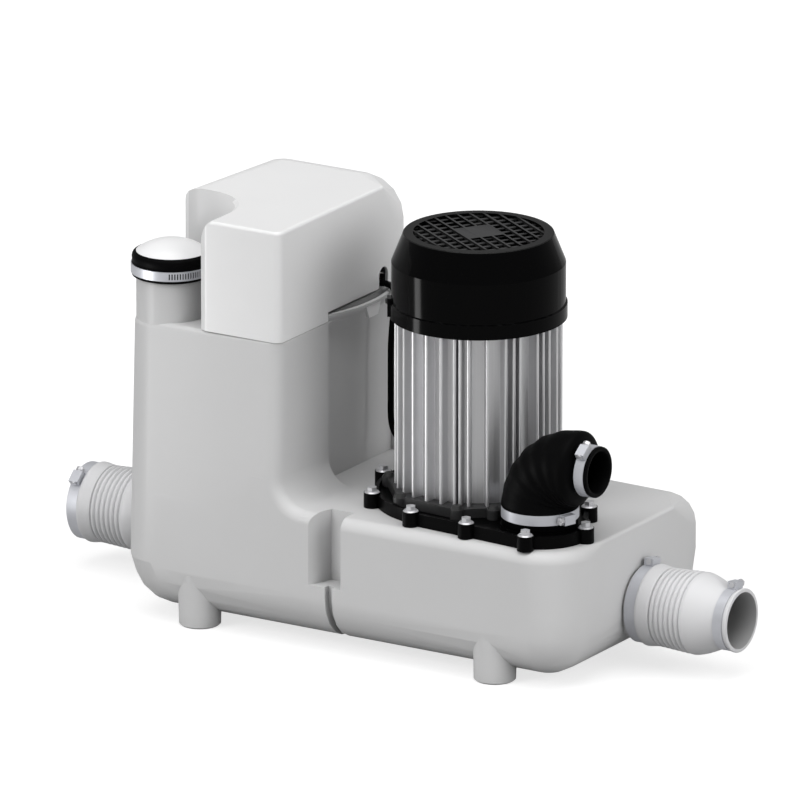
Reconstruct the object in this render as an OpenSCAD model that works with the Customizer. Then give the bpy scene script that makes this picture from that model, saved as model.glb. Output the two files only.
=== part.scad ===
/* [Tank] */
// Length of the moulded tank at the floor
tank_l = 500; // [480:1:530]
// Depth of the tank from front to back
tank_d = 264; // [256:1:280]
// Height of the low end's top, which carries the pump
base_z = 137; // [132:1:148]
// Length of the tower, which carries the controls
tower_l = 182; // [176:1:190]
// Height of the tower's deck
deck_z = 297; // [285:1:315]
// How far the tower's walls lean in from floor to deck
draft = 5; // [3:0.5:7]
// Thickness of the tank's moulded wall
wall = 4; // [3:0.5:5]
// Clear height under the tank
floor_gap = 10; // [8:1:14]
// Radius of each moulded foot
foot_r = 21.3; // [19:0.1:23]
// Radius of the tower's front left corner at the floor
tower_corner = 40; // [38:1:42]
// Radius of the rounding between the tower and the low end
blend_r = 27; // [20:1:32]
// Radius of the low end's front right corner
front_corner = 49; // [44:1:54]
// Radius of the low end's back right corner
back_corner = 30; // [26:1:40]
// Radius of the rounded edges under the tank
under_r = 44; // [38:1:47]
// Radius along the low end's front top edge
edge_r = 12; // [9:1:14]
/* [Front notch and side bay] */
// Width of the notch between tower and low end
notch_w = 30.5; // [24:0.5:34]
// Depth of the notch
notch_d = 25; // [18:1:28]
// Height of the notch's floor
notch_z = 67; // [62:1:80]
// Width of the groove that runs on round the bottom
groove_w = 8; // [6:0.5:10]
// Depth of that groove
groove_d = 7; // [5:0.5:9]
// Width of the bay in the tower's right wall
bay_w = 126; // [110:1:134]
// Depth of the bay
bay_d = 8; // [5:0.5:10]
// How far the curved lip over the bay stands out
lip_out = 12.5; // [9:0.5:14]
// Thickness of that lip
lip_t = 8; // [6:0.5:9]
/* [Hood] */
// Height of the hood from its rim to its top
hood_h = 108.6; // [98:0.2:118]
// Thickness of the hood's wall
hood_wall = 3; // [2.5:0.5:3.5]
// Radius of the pocket that the hood leaves round the vent
pocket_r = 53; // [50:1:56]
// Radius by which the pocket's wall flares into the hood's top
flare_r = 29; // [24:1:32]
// Radius of the hood's back edges
hood_back_r = 44; // [34:1:48]
// Share of its quarter turn that the flare takes before it meets the top
flare_share = 0.82; // [0.7:0.01:0.9]
/* [Vent] */
// Outside diameter of the vent pipe
vent_od = 67.5; // [64:0.5:69]
// Height of the vent pipe's end
vent_z = 346; // [343:1:350]
// Height of the vent cap's rim
cap_z = 359.5; // [357:0.5:364]
// Rise of the vent cap's dome
dome_h = 11; // [8:1:14]
/* [Inlet sleeves] */
// Height of the inlets' axis
inlet_z = 59; // [56:1:64]
// How far the inlets' axis lies behind the tank's middle
inlet_y = 7.5; // [0:0.5:12]
// Length of a sleeve
sleeve_l = 108; // [104:1:116]
// Outside radius of a sleeve's wide end
sleeve_wide_r = 39; // [37.5:0.5:40]
// Bore radius of a sleeve's narrow mouth
mouth_r = 27; // [25:0.5:27.5]
// Bore radius of a sleeve's wide mouth
wide_bore_r = 34; // [33:0.5:34.5]
// Distance between ribs
rib_pitch = 5.6; // [5.2:0.1:6]
// Gap from the tank's right wall to its sleeve
sleeve_gap = 2; // [1.5:0.5:4]
// Length of the left spigot's open stretch
left_stub = 13; // [10:1:18]
/* [Pump head] */
// Distance of the motor's axis from the tank's right wall
motor_from_right = 169; // [166:1:172]
// Distance of the motor's axis from the tank's front
motor_from_front = 121; // [118:1:126]
// Radius of the ring of flange screws
screw_ring_r = 102.5; // [101:0.5:104]
// Thickness of the flange at its screw bosses
flange_t = 14.5; // [13:0.5:16]
// Thickness of the flange plate
plate_t = 8; // [6:0.5:9]
// Height of the rim round the plate
rim_t = 12.5; // [11:0.5:13.5]
// Radius of a screw boss
boss_r = 8; // [7.5:0.5:9]
// Distance from the motor's axis to the outlet's axis
outlet_off = 123.6; // [122:0.2:126]
// Direction of the outlet seen from the motor's axis
outlet_dir = -30.6; // [-34:0.2:-28]
/* [Motor] */
// Radius over the cooling fins
fin_r = 79.4; // [78:0.2:80]
// Radius of the housing between the fins
housing_r = 68; // [66:0.5:70]
// Thickness of a fin at its tip
fin_t = 3; // [2.4:0.1:3.6]
// Height of the housing's lower end
housing_z = 155; // [153:1:158]
// Height of the housing's upper end
housing_top_z = 330; // [324:1:336]
// Radius of the motor shaft
shaft_r = 7; // [6:0.5:8]
// Running clearance round the shaft
running = 0.05; // [0.03:0.01:0.09]
/* [Fan cover] */
// Radius of the cover's lower rim
cover_r = 84.1; // [83.5:0.1:86]
// Radius of the cover's flat top
cover_top_r = 71.4; // [69:0.2:74]
// Height of the cover from its rim to its flat top
cover_h = 82; // [78:1:84]
// Height of its cone
cone_h = 28.6; // [24:0.2:32]
// Thickness of the cover's wall
cover_wall = 2.5; // [2:0.1:2.5]
// Distance between the grid's bars
grid_pitch = 12.1; // [11.6:0.1:13]
// Width of a bar of the upper layer
grid_bar = 2.2; // [2:0.1:3]
// Width of a bar of the lower layer
cross_bar = 4; // [3:0.1:4.5]
// How far the lower layer lies under the cover's top
cross_drop = 1.8; // [1:0.1:2]
// Direction of the upper bars
grid_dir = -34; // [-45:1:45]
/* [Discharge elbow] */
// Radius of the elbow's body
elbow_r = 36; // [34:0.5:37]
// Radius of the elbow's bend, along its middle
bend_r = 41.3; // [40:0.1:44]
// Thickness of the rubber
rubber_t = 4; // [3:0.5:4.5]
// Outside radius of the discharge mouth
discharge_r = 23.9; // [23:0.1:26]
// Bore radius of the discharge mouth
discharge_bore_r = 20; // [18:0.5:20]
// Length of the discharge neck
neck_l = 16.5; // [15:0.5:20]
/* [Clamps] */
// Width of a clamp band
band_w = 10; // [9:0.5:12]
// Thickness of a clamp band
band_t = 0.9; // [0.7:0.1:1.2]
/* [Motor lead] */
// Diameter of the motor's lead
lead_d = 6; // [5:0.5:7]
/* [Controls] */
// Radius of the pressure bell's tube
bell_r = 26; // [22:1:28]
// Height of the bell's open foot above the floor
bell_foot_z = 32; // [26:1:50]
// Travel of the level switch's plunger
plunger_travel = 3; // [2:0.5:3.5]

/* [Hidden] */
$fn = 64;
hull_fn = 32;
eps = 0.01;
fit = 0.3;
seat = 0.2;

// Where the tank stands: the middle of the whole pump's footprint is the origin
reach_l = left_stub + sleeve_l;
reach_r = sleeve_gap + sleeve_l;
total_l = reach_l + tank_l + reach_r;
x_l = -total_l / 2 + reach_l;
x_r = x_l + tank_l;
y_f = -tank_d / 2;
y_b = tank_d / 2;
x_t = x_l + tower_l;
floor_z = floor_gap;
low_l = 47;
low_z = floor_z + low_l;
tower_back_r = 20;
side_lean = 1.5;

// The vent stands on the tower's front left corner
vent_x = x_l + tower_corner;
vent_y = y_f + tower_corner;
vent_r = vent_od / 2;
shoulder_r = tower_corner - draft;
sleeve_ring_t = 4.2;

// Motor and outlet axes
m_x = x_r - motor_from_right;
m_y = y_f + motor_from_front;
o_x = m_x + outlet_off * cos(outlet_dir);
o_y = m_y + outlet_off * sin(outlet_dir);
flange_z = base_z + flange_t;
plate_z = base_z + plate_t;

// The bay, its lip and the notch
bay_y0 = m_y - 28.5;
bay_y1 = bay_y0 + bay_w;
bay_y = (bay_y0 + bay_y1) / 2;
bay_top = deck_z - 1.5;
lip_r = (bay_w * bay_w / 4 + lip_out * lip_out) / (2 * lip_out);
notch_x0 = x_t + 40;
notch_x1 = notch_x0 + notch_w;
groove_x = notch_x0 + notch_w * 0.42;

// Hood
hood_z = deck_z + 0.4;
hood_top = hood_z + hood_h;
hood_x0 = x_l + draft + 5.5;
hood_x1 = x_t;
hood_y0 = y_f + draft;
hood_y1 = y_b - 4;
hood_front_r = 8;
crisp_r = 3.5;
ear_r = 26;
arch_z = deck_z + 9.5;
notch_r = 8;
notch_top = deck_z + 21.3;
pocket_x = vent_x;
pocket_y = vent_y;

// Feet, two along each long side
foot_xs = [x_l + 82, x_r - 90];
foot_ys = [y_f + foot_r + 0.4, y_b - foot_r - 0.4];

// Screws of the pump flange: a ring about the motor, then round the outlet's lobe
ring_dirs = [183, 223, 263, 63, 103, 143];
lobe_spots = [[70, 218], [50, 285], [48.3, 3.5], [64, 75]];
screw_spots = concat(
    [for (a = ring_dirs) [m_x + screw_ring_r * cos(a), m_y + screw_ring_r * sin(a)]],
    [for (s = lobe_spots) [o_x + s[0] * cos(s[1]), o_y + s[0] * sin(s[1])]]
);
web = [2, 6, 7, 8, 9, 3, -1];
lobe_r = 47;
screw_r = 2.4;
hole_r = 2.5;
screw_depth = 16;
head_r = 4.8;
head_h = 4;
washer_r = 7.4;
washer_t = 1.2;

// The opening in the low end's top, and what hangs through it
opening_r = 84;
opening_lobe_r = 33;
gasket_w = 4;
gasket_t = 2;
volute_r = 62;
volute_wall = 4;
volute_top_z = base_z;
chamber_top_z = base_z - 19;
chamber_z = chamber_top_z - 30;
volute_z = chamber_z - volute_wall;
eye_r = 22;
riser_r = 28;
riser_bore_r = 22;
riser_z = base_z - 41;
impeller_r = 52;
impeller_z = chamber_z + 3;
impeller_h = 22;
seal_r = 15;

// Inside the motor
ring_z = plate_z;
shield_z = ring_z + 10;
stator_z = housing_z + 45;
stator_h = 85;
stator_r = housing_r - 5;
rotor_r = 38;
air_gap = 0.6;
bearing_r = 20;
bearing_h = 12;
winding_h = 18;
upper_z = housing_top_z;
upper_t = 8;
fan_z = upper_z + 17;
fan_r = 70;
fan_h = 20;
shaft_top = fan_z + 16;
fin_dirs = [-88, -76, -64, -52, -39, -27, -17, -13, -7, 6, 19, 25, 30, 45, 51, 58, 70, 82];
fin_face = -58.4;
fin_root = 6;
ring_sides = 8;
ring_r = 89;
ring_turn = 18;
shield_screw_r = 6;
knobs = [[87, 18], [87, 63], [87, 108], [87, 153], [87, 198], [87, 243], [87, 288], [86, 311]];

// Fan cover
cover_foot = housing_top_z - 10;
cover_z = cover_foot + cover_h;
rim_h = 14.8;
rim_step = 1.6;
cover_mid_r = cover_r - rim_step;
grid_r = cover_top_r - 9.4;
grid_n = 5;
lug_dirs = [212, 92];

// Discharge elbow
elbow_z = base_z + 30.5;
elbow_foot = plate_z + 4.6 + fit;
elbow_x1 = o_x + bend_r;
neck_x = elbow_x1 + 6.5;
mouth_x = neck_x + neck_l;
mouth_z = elbow_z + bend_r;
neck_rim = 1.5;
stub_r = elbow_r - rubber_t - seat;
stub_bore_r = riser_bore_r;
stub_z = elbow_z - 2;
bend_steps = 16;
elbow_sides = 28;
pleat_h = 1.1;
pleats = 5;

// The check flap on the stub's rim
flap_r = riser_bore_r + 2.5;
flap_t = 3.5;
flap_z = stub_z + seat;
pin_r = 1.5;
pin_z = flap_z + 4.2;
pin_x = o_x - flap_r - 2.6;
ear_gap = 6;
ear_l = 3.5;

// Sleeves: stretches along the axis from the wide end
seat_l = 12.5;
smooth_l = 14.5;
ribs = 6;
narrow_seat_l = band_w + 2;
band_seat = 2.4;
narrow_r = mouth_r + 2.2;
lip_edge = 2;
cone_l = sleeve_l - seat_l - smooth_l - ribs * rib_pitch - narrow_seat_l - lip_edge - 6.4;

// Controls on the deck
bell_x = x_t - 55;
bell_y = bay_y;
tray_t = 3;
tray_z = deck_z + fit;
tray_top = tray_z + tray_t;
cup_r = 32;
cup_top = tray_z + 14;
membrane_t = 2;
membrane_z = tray_z + 4;
plunger_z = membrane_z + membrane_t + fit;
plunger_r = 3;
plunger_h = 22;
lever_z = plunger_z + plunger_h + plunger_r + fit;
lever_l = 20;
lever_t = 1.6;
lever_x = bell_x - lever_l;

// The lead's route from the hood's notch down the bay to the motor's gland
gland_dir = 152;
gland_z = housing_z + 12;
g_x = m_x + fin_r * cos(gland_dir);
g_y = m_y + fin_r * sin(gland_dir);
lead_route = [
    [-84, 60, 309], [-72, 60, 310], [-61, 60, 310], [-53.5, 59.5, 308.5], [-48.8, 57.5, 304],
    [-46.8, 54.5, 295], [-46.5, 50.5, 278], [-47, 48.3, 255], [-47.3, 48.3, 230],
    [-47.3, 48.3, 205], [-47.3, 48.3, 186], [-45, 47.3, 174], [-38.5, 44.5, 166.5], [-29, 40.5, 164.5],
    [-17, 35.2, 166], [-5, 29.9, 167], [g_x - 8, g_y + 4.25, gland_z]
];
lead_hole_y = bay_y1 - 26.5;

// Points on an arc, from angle a0 to angle a1
function arc_pts(cx, cy, r, a0, a1, n) = [
    for (i = [0:n])
        let (a = a0 + (a1 - a0) * i / n)
        [cx + r * cos(a), cy + r * sin(a)]
];

// A solid skin over rings of equal count, closed at both ends
module loft(rings) {
    n = len(rings[0]);
    k = len(rings);
    pts = [for (r = rings) for (p = r) p];
    sides = [
        for (i = [0:k - 2])
            for (j = [0:n - 1])
                let (a = i * n + j, b = i * n + (j + 1) % n)
                for (f = [[a, a + n, b + n], [a, b + n, b]])
                    f
    ];
    first = [for (j = [1:n - 2]) [0, j, j + 1]];
    last = [for (j = [1:n - 2]) [(k - 1) * n, (k - 1) * n + j + 1, (k - 1) * n + j]];
    polyhedron(points = pts, faces = concat(sides, first, last), convexity = 6);
}

// A round post with rounded top and bottom edges, one corner of a moulded shell
module puck(x, y, r, z0, z1, top_r, bottom_r) {
    t = max(0.6, top_r);
    b = max(0.6, bottom_r);
    translate([x, y, 0])
        rotate_extrude($fn = hull_fn)
            polygon(concat(
                [[0, z0]],
                arc_pts(r - b, z0 + b, b, -90, 0, 5),
                arc_pts(r - t, z1 - t, t, 0, 90, 5),
                [[0, z1]]
            ));
}

// The low end of the tank, inset by t
module low_form(t) {
    hull() {
        for (y = [y_f + low_l, y_b - low_l])
            puck(x_l + low_l, y, low_l - t, floor_z + t, base_z - t, edge_r - t, low_l - t - 0.5);
        for (y = [y_f + under_r, y_b - under_r])
            puck(x_r - under_r, y, under_r - t, floor_z + t, floor_z + 70, 5, under_r - t - 0.5);
        puck(x_r - side_lean - front_corner, y_f + front_corner, front_corner - t,
            base_z - 60, base_z - t, edge_r - t, 5);
        puck(x_r - side_lean - crisp_r - t, y_f + front_corner + 22, crisp_r,
            base_z - 30, base_z - t, crisp_r - 0.2, 1);
        puck(x_r - side_lean - crisp_r - t, y_b - back_corner - 32, crisp_r,
            base_z - 30, base_z - t, crisp_r - 0.2, 1);
        puck(x_r - side_lean - back_corner, y_b - back_corner, back_corner - t,
            base_z - 60, base_z - t, back_corner - t - 0.5, 5);
        puck(x_l + back_corner, y_b - back_corner, back_corner - t,
            base_z - 60, base_z - t, back_corner - t - 0.5, 5);
    }
}

// The tower, inset by t
module tower_form(t) {
    foot_top = base_z + blend_r;
    hull() {
        for (y = [y_f + low_l, y_b - low_l])
            puck(x_l + low_l, y, low_l - t, floor_z + t, low_z + 20, 18, low_l - t - 0.5);
        for (y = [y_f + tower_corner, y_b - tower_corner]) {
            puck(x_l + tower_corner, y, tower_corner - t, low_z + 2, low_z + 8, 0, 0);
            puck(x_l + tower_corner, y, shoulder_r - t, deck_z - 20, deck_z - t, 7 - t, 0);
        }
        puck(x_t - edge_r, y_f + edge_r, edge_r - t, base_z - 20, foot_top, 1, 1);
        puck(x_t - edge_r, y_f + draft + edge_r, edge_r - t, deck_z - 20, deck_z - t, 2, 1);
        puck(x_t - tower_back_r, y_b - tower_back_r, tower_back_r - t, base_z - 40, foot_top, 1, 1);
        puck(x_t - tower_back_r, y_b - draft - tower_back_r, tower_back_r - t,
            deck_z - 20, deck_z - t, 2, 1);
    }
}

// The rounding at the tower's foot, with the front edge's own rounding carried round it
module tower_blend() {
    back = 30;
    translate([x_t + blend_r, 0, base_z + blend_r])
        rotate([90, 0, 0])
            rotate([0, 0, 180])
                rotate_extrude(angle = 90)
                    polygon(concat(
                        [[blend_r, -bay_y0]],
                        arc_pts(blend_r + edge_r, -y_f - edge_r, edge_r, 180, 90, 8),
                        [[blend_r + back, -y_f], [blend_r + back, -bay_y0]]
                    ));
}

// The notches at front and back, and the groove between them round the bottom, grown by g
module notches(g) {
    for (s = [-1, 1])
        translate([0, s * (tank_d / 2 - notch_d - g), notch_z - g])
            linear_extrude(base_z)
                mirror([0, s < 0 ? 1 : 0])
                    polygon([
                        [notch_x0 - 7 - g, notch_d + g + 2],
                        [notch_x0 - g, notch_d - 7],
                        [notch_x0 + 5 - g, 0],
                        [notch_x1 + g, 0],
                        [notch_x1 + g, notch_d + g + 2]
                    ]);
    translate([groove_x - g, 0, 0])
        rotate([90, 0, 90])
            linear_extrude(groove_w + 2 * g)
                difference() {
                    polygon([
                        [y_f - 2, floor_z - 2], [y_b + 2, floor_z - 2],
                        [y_b + 2, notch_z + 8], [y_f - 2, notch_z + 8]
                    ]);
                    polygon(concat(
                        arc_pts(y_f + low_l, low_z, low_l - groove_d - g, 180, 270, 6),
                        arc_pts(y_b - low_l, low_z, low_l - groove_d - g, 270, 360, 6),
                        [[y_b - groove_d - g, notch_z + 9], [y_f + groove_d + g, notch_z + 9]]
                    ));
                }
}

// The bay in the tower's right wall, grown by g
module bay(g) {
    translate([x_t - bay_d - g, bay_y0 - g, base_z - g])
        cube([bay_d + blend_r + g + 20, bay_w + 2 * g, bay_top - base_z + 2 * g]);
}

// The curved lip over the bay: a thin rim round a finger trough, with the catch under it
module lip_plan(g) {
    intersection() {
        translate([x_t + lip_out - lip_r, bay_y])
            circle(r = lip_r - g, $fn = 128);
        translate([x_t - bay_d - 1, bay_y0])
            square([bay_d + lip_out + 2, bay_w]);
    }
}
module lip() {
    catch_w = 26;
    catch_h = 12;
    rim = 2.4;
    translate([0, 0, bay_top])
        difference() {
            union() {
                linear_extrude(lip_t - 2.8)
                    lip_plan(rim);
                translate([0, 0, lip_t - 2.8])
                    linear_extrude(2.8)
                        lip_plan(0);
            }
            translate([0, 0, 2.4])
                linear_extrude(lip_t)
                    intersection() {
                        lip_plan(rim + 1.8);
                        translate([x_t - 2, bay_y0])
                            square([lip_out + 2, bay_w]);
                    }
        }
    translate([x_t + lip_out - rim - 1.6, bay_y, bay_top + eps])
        rotate([90, 0, 90])
            linear_extrude(3)
                polygon([
                    [-catch_w / 2, lip_t - 3], [catch_w / 2, lip_t - 3],
                    [catch_w / 2 - 5, lip_t - 3 - catch_h], [5 - catch_w / 2, lip_t - 3 - catch_h]
                ]);
}

// A foot, slightly conical, with its edge rounded off
module foot(x, y) {
    translate([x, y, 0]) {
        cylinder(r1 = foot_r - 3, r2 = foot_r - 1.2, h = 1.5);
        translate([0, 0, 1.5])
            cylinder(r1 = foot_r - 1.2, r2 = foot_r, h = low_z - 6);
    }
}

// Plan of the pump's opening: a circle about the motor joined to one about the outlet
module head_plan(main_r, lobe_r) {
    translate([m_x, m_y])
        circle(r = main_r);
    translate([o_x, o_y])
        circle(r = lobe_r);
    translate([m_x, m_y])
        rotate(outlet_dir)
            translate([0, -lobe_r])
                square([outlet_off, 2 * lobe_r]);
}

// Posts under the low end's top that take the flange screws
module screw_posts() {
    for (p = screw_spots)
        translate([p[0], p[1], base_z - screw_depth - 4])
            cylinder(r = 6.5, h = screw_depth + 3);
}

// What the tank holds: the inner form less the walls of notch, groove and bay
module tank_hollow() {
    difference() {
        union() {
            low_form(wall);
            tower_form(wall);
        }
        notches(wall);
        bay(wall);
        screw_posts();
    }
}

module tank() {
    color("white")
        difference() {
            union() {
                low_form(0);
                tower_form(0);
                difference() {
                    tower_blend();
                    tank_hollow();
                }
                for (x = foot_xs)
                    for (y = foot_ys)
                        difference() {
                            foot(x, y);
                            translate([x, y, floor_z + 8])
                                cylinder(r = foot_r - 5, h = low_z);
                        }
                translate([vent_x, vent_y, deck_z - 12])
                    cylinder(r = vent_r, h = vent_z - deck_z + 12);
                translate([x_l - left_stub - 20, inlet_y, inlet_z])
                    rotate([0, 90, 0])
                        cylinder(r = mouth_r - seat, h = left_stub + 26);
                translate([x_r - 18, inlet_y, inlet_z])
                    rotate([0, 90, 0])
                        cylinder(r = wide_bore_r - seat, h = sleeve_gap + 18 + 24);
            }
            difference() {
                tank_hollow();
                for (x = foot_xs)
                    for (y = foot_ys)
                        foot(x, y);
            }
            notches(0);
            bay(0);
            translate([vent_x, vent_y, deck_z - 20])
                cylinder(r = vent_r - wall, h = vent_z);
            translate([x_l - left_stub - 21, inlet_y, inlet_z])
                rotate([0, 90, 0])
                    cylinder(r = mouth_r - wall, h = left_stub + 40);
            translate([x_r - 20, inlet_y, inlet_z])
                rotate([0, 90, 0])
                    cylinder(r = wide_bore_r - wall, h = 60);
            translate([0, 0, base_z - wall - 1])
                linear_extrude(wall + 2)
                    head_plan(opening_r, opening_lobe_r);
            translate([bell_x, bell_y, deck_z - wall - 1])
                cylinder(r = bell_r + fit, h = wall + 2);
            for (p = screw_spots)
                translate([p[0], p[1], base_z - screw_depth])
                    cylinder(r = hole_r, h = screw_depth + 1);
        }
    color("white")
        lip();
}

// The pocket's outline at height z, grown by g: a rounded corner round the vent, open to front and left
function flare_at(z) =
    let (h = max(0, min(flare_share * flare_r, z - (hood_top - flare_share * flare_r))))
    flare_r - sqrt(flare_r * flare_r - h * h);
function pocket_ring(z, g) =
    let (
        f = flare_at(z),
        r = pocket_r + g + 0.1 * f,
        cx = pocket_x + 0.9 * f,
        wall_y = pocket_y + r,
        far_x = hood_x0 - 30,
        far_y = hood_y0 - 30,
        plan = concat(
            [[far_x, far_y], [cx + r, far_y]],
            arc_pts(cx, pocket_y, r, 0, 90, 9),
            arc_pts(hood_x0 + ear_r, wall_y + ear_r - g, ear_r - g, -90, -180, 6),
            [[far_x, wall_y + ear_r]]
        )
    )
    [for (p = plan) [p[0], p[1], z]];

module pocket(g) {
    steps = 7;
    loft(concat(
        [pocket_ring(hood_z - 5, g)],
        [for (i = [0:steps]) pocket_ring(hood_top - flare_share * flare_r * (1 - i / steps), g)],
        [pocket_ring(hood_top + 5, g)]
    ));
}

// The hood's outer form, inset by t
module hood_form(t) {
    low = hood_z - (t > 0 ? 4 : 0);
    hull() {
        puck(hood_x1 - hood_front_r, hood_y0 + hood_front_r, hood_front_r - t,
            low, hood_top - t, crisp_r - t, 0);
        puck(pocket_x + pocket_r + hood_front_r, hood_y0 + hood_front_r, hood_front_r - t,
            low, hood_top - t, crisp_r - t, 0);
        puck(hood_x0 + ear_r, vent_y + ear_r, ear_r - t, low, hood_top - t, ear_r - t - 0.5, 0);
        puck(hood_x0 + hood_back_r, hood_y1 - hood_back_r, hood_back_r - t,
            low, hood_top - t, hood_back_r - t - 0.5, 0);
        puck(hood_x1 - hood_back_r, hood_y1 - hood_back_r, hood_back_r - t,
            low, hood_top - t, hood_back_r - t - 0.5, 0);
        puck(hood_x1 - crisp_r - t, hood_y1 - hood_back_r - 24, crisp_r,
            low, hood_top - t, crisp_r - 0.5, 0);
    }
}

// The arched notch through which the motor's lead leaves the hood
module lead_notch() {
    translate([hood_x1 - 10, lead_hole_y, hood_z - 1])
        rotate([90, 0, 90])
            linear_extrude(20) {
                translate([-notch_r, 0])
                    square([2 * notch_r, notch_top - hood_z + 1]);
                translate([0, notch_top - hood_z + 1])
                    circle(r = notch_r);
            }
}

module hood() {
    color("white")
        difference() {
            hood_form(0);
            difference() {
                hood_form(hood_wall);
                pocket(hood_wall);
            }
            pocket(0);
            translate([hood_x1 - 20, bay_y0 - fit, hood_z - 1])
                cube([40, bay_w + 2 * fit, arch_z - hood_z + 1]);
            lead_notch();
            translate([hood_x0 - 5, lead_hole_y - 8, hood_z - 1])
                cube([12, 16, deck_z + 23.5 - hood_z]);
        }
}

module vent_cap() {
    dome_r = (vent_r * vent_r + dome_h * dome_h) / (2 * dome_h);
    color("white")
        translate([vent_x, vent_y, 0]) {
            intersection() {
                translate([0, 0, cap_z + dome_h - dome_r])
                    sphere(r = dome_r, $fn = 96);
                translate([0, 0, cap_z])
                    cylinder(r = vent_r, h = dome_h + 1);
            }
            translate([0, 0, vent_z + fit])
                difference() {
                    cylinder(r = vent_r, h = cap_z - vent_z - fit + eps);
                    translate([0, 0, -1])
                        cylinder(r = vent_r - 3, h = cap_z - vent_z - 2);
                }
        }
}

// A plain ring
module ring(r_in, r_out, h) {
    difference() {
        cylinder(r = r_out, h = h);
        translate([0, 0, -1])
            cylinder(r = r_in, h = h + 2);
    }
}

module vent_sleeve() {
    color([0.06, 0.06, 0.07])
        translate([vent_x, vent_y, cap_z - 23.5])
            ring(vent_r + seat, vent_r + sleeve_ring_t, 23.5);
}

// A worm-drive band round +Z from z = 0, with its housing at angle dir; the screw is a solid of its own
screw_len = 15;
housing_w = 13;
housing_h = 6.5;
slots_from = 145;
worm_r = 2.8;
module band(r, w, dir, slots) {
    slot_pitch = 2.6 * 360 / (2 * PI * r);
    difference() {
        ring(r, r + band_t, w);
        for (i = [1:1:slots])
            rotate(dir + slots_from + i * slot_pitch)
                translate([r - 1, -0.6, w * 0.18])
                    cube([4, 1.2, w * 0.64]);
    }
    rotate(dir)
        difference() {
            translate([r + band_t - 0.5, -housing_w / 2, 0.4])
                cube([housing_h + 0.5, housing_w, w - 0.8]);
            translate([r + band_t + housing_h / 2 + 0.2, 0, w / 2])
                rotate([90, 0, 0])
                    cylinder(r = worm_r + 0.1, h = housing_w + 2, center = true, $fn = 32);
        }
}
module worm(r, w, dir) {
    rotate(dir)
        translate([r + band_t + housing_h / 2 + 0.2, 0, w / 2])
            rotate([90, 0, 0]) {
                translate([0, 0, -screw_len / 2])
                    cylinder(r = worm_r, h = screw_len, $fn = 32);
                translate([0, 0, screw_len / 2 - eps])
                    difference() {
                        cylinder(r = worm_r + 1.2, h = 3.5, $fn = 6);
                        translate([-5, -0.4, 2.5])
                            cube([10, 0.8, 2]);
                    }
            }
}

// Where each band sits: [place, turn, radius, width, direction of its screw, slots]
along_x = [0, 90, 0];
along_back_x = [0, -90, 0];
vent_at = [[vent_x, vent_y, cap_z - 20.5], [0, 0, 0], vent_r + sleeve_ring_t, band_w - 1, 150, 0];
right_wide_at = [[x_r + sleeve_gap + 1, inlet_y, inlet_z], along_x,
    sleeve_wide_r - band_seat, seat_l - 1.5, 172, 0];
right_mouth_at = [[x_r + reach_r - lip_edge - 3 - band_w, inlet_y, inlet_z], along_x,
    narrow_r, band_w, 172, 0];
left_wide_at = [[x_l - reach_l + 1, inlet_y, inlet_z], along_x,
    sleeve_wide_r - band_seat, seat_l - 1.5, 222, 0];
left_stub_at = [[x_l - left_stub - lip_edge - 3 - band_w, inlet_y, inlet_z], along_x,
    narrow_r, band_w, 90, 0];
elbow_base_at = [[o_x, o_y, base_z + 19.6], [0, 0, 0], elbow_r, band_w, -18, 0];
elbow_mouth_at = [[neck_x + 3.2, o_y, mouth_z], along_x, discharge_r, band_w, 215, 0];
bands = [vent_at, right_wide_at, right_mouth_at, left_wide_at, left_stub_at,
    elbow_base_at, elbow_mouth_at];

module clamp(at) {
    color([0.78, 0.78, 0.82])
        translate(at[0])
            rotate(at[1])
                band(at[2], at[3], at[4], at[5]);
}
module vent_clamp() {
    clamp([vent_at[0], vent_at[1], vent_at[2], vent_at[3], vent_at[4], 24]);
}
module right_wide_clamp() {
    clamp(right_wide_at);
}
module right_mouth_clamp() {
    clamp(right_mouth_at);
}
module left_wide_clamp() {
    clamp(left_wide_at);
}
module left_stub_clamp() {
    clamp(left_stub_at);
}
module elbow_base_clamp() {
    clamp(elbow_base_at);
}
module elbow_mouth_clamp() {
    clamp(elbow_mouth_at);
}
module clamp_screws() {
    color([0.7, 0.7, 0.74])
        for (at = bands)
            translate(at[0])
                rotate(at[1])
                    worm(at[2], at[3], at[4]);
}

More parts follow.
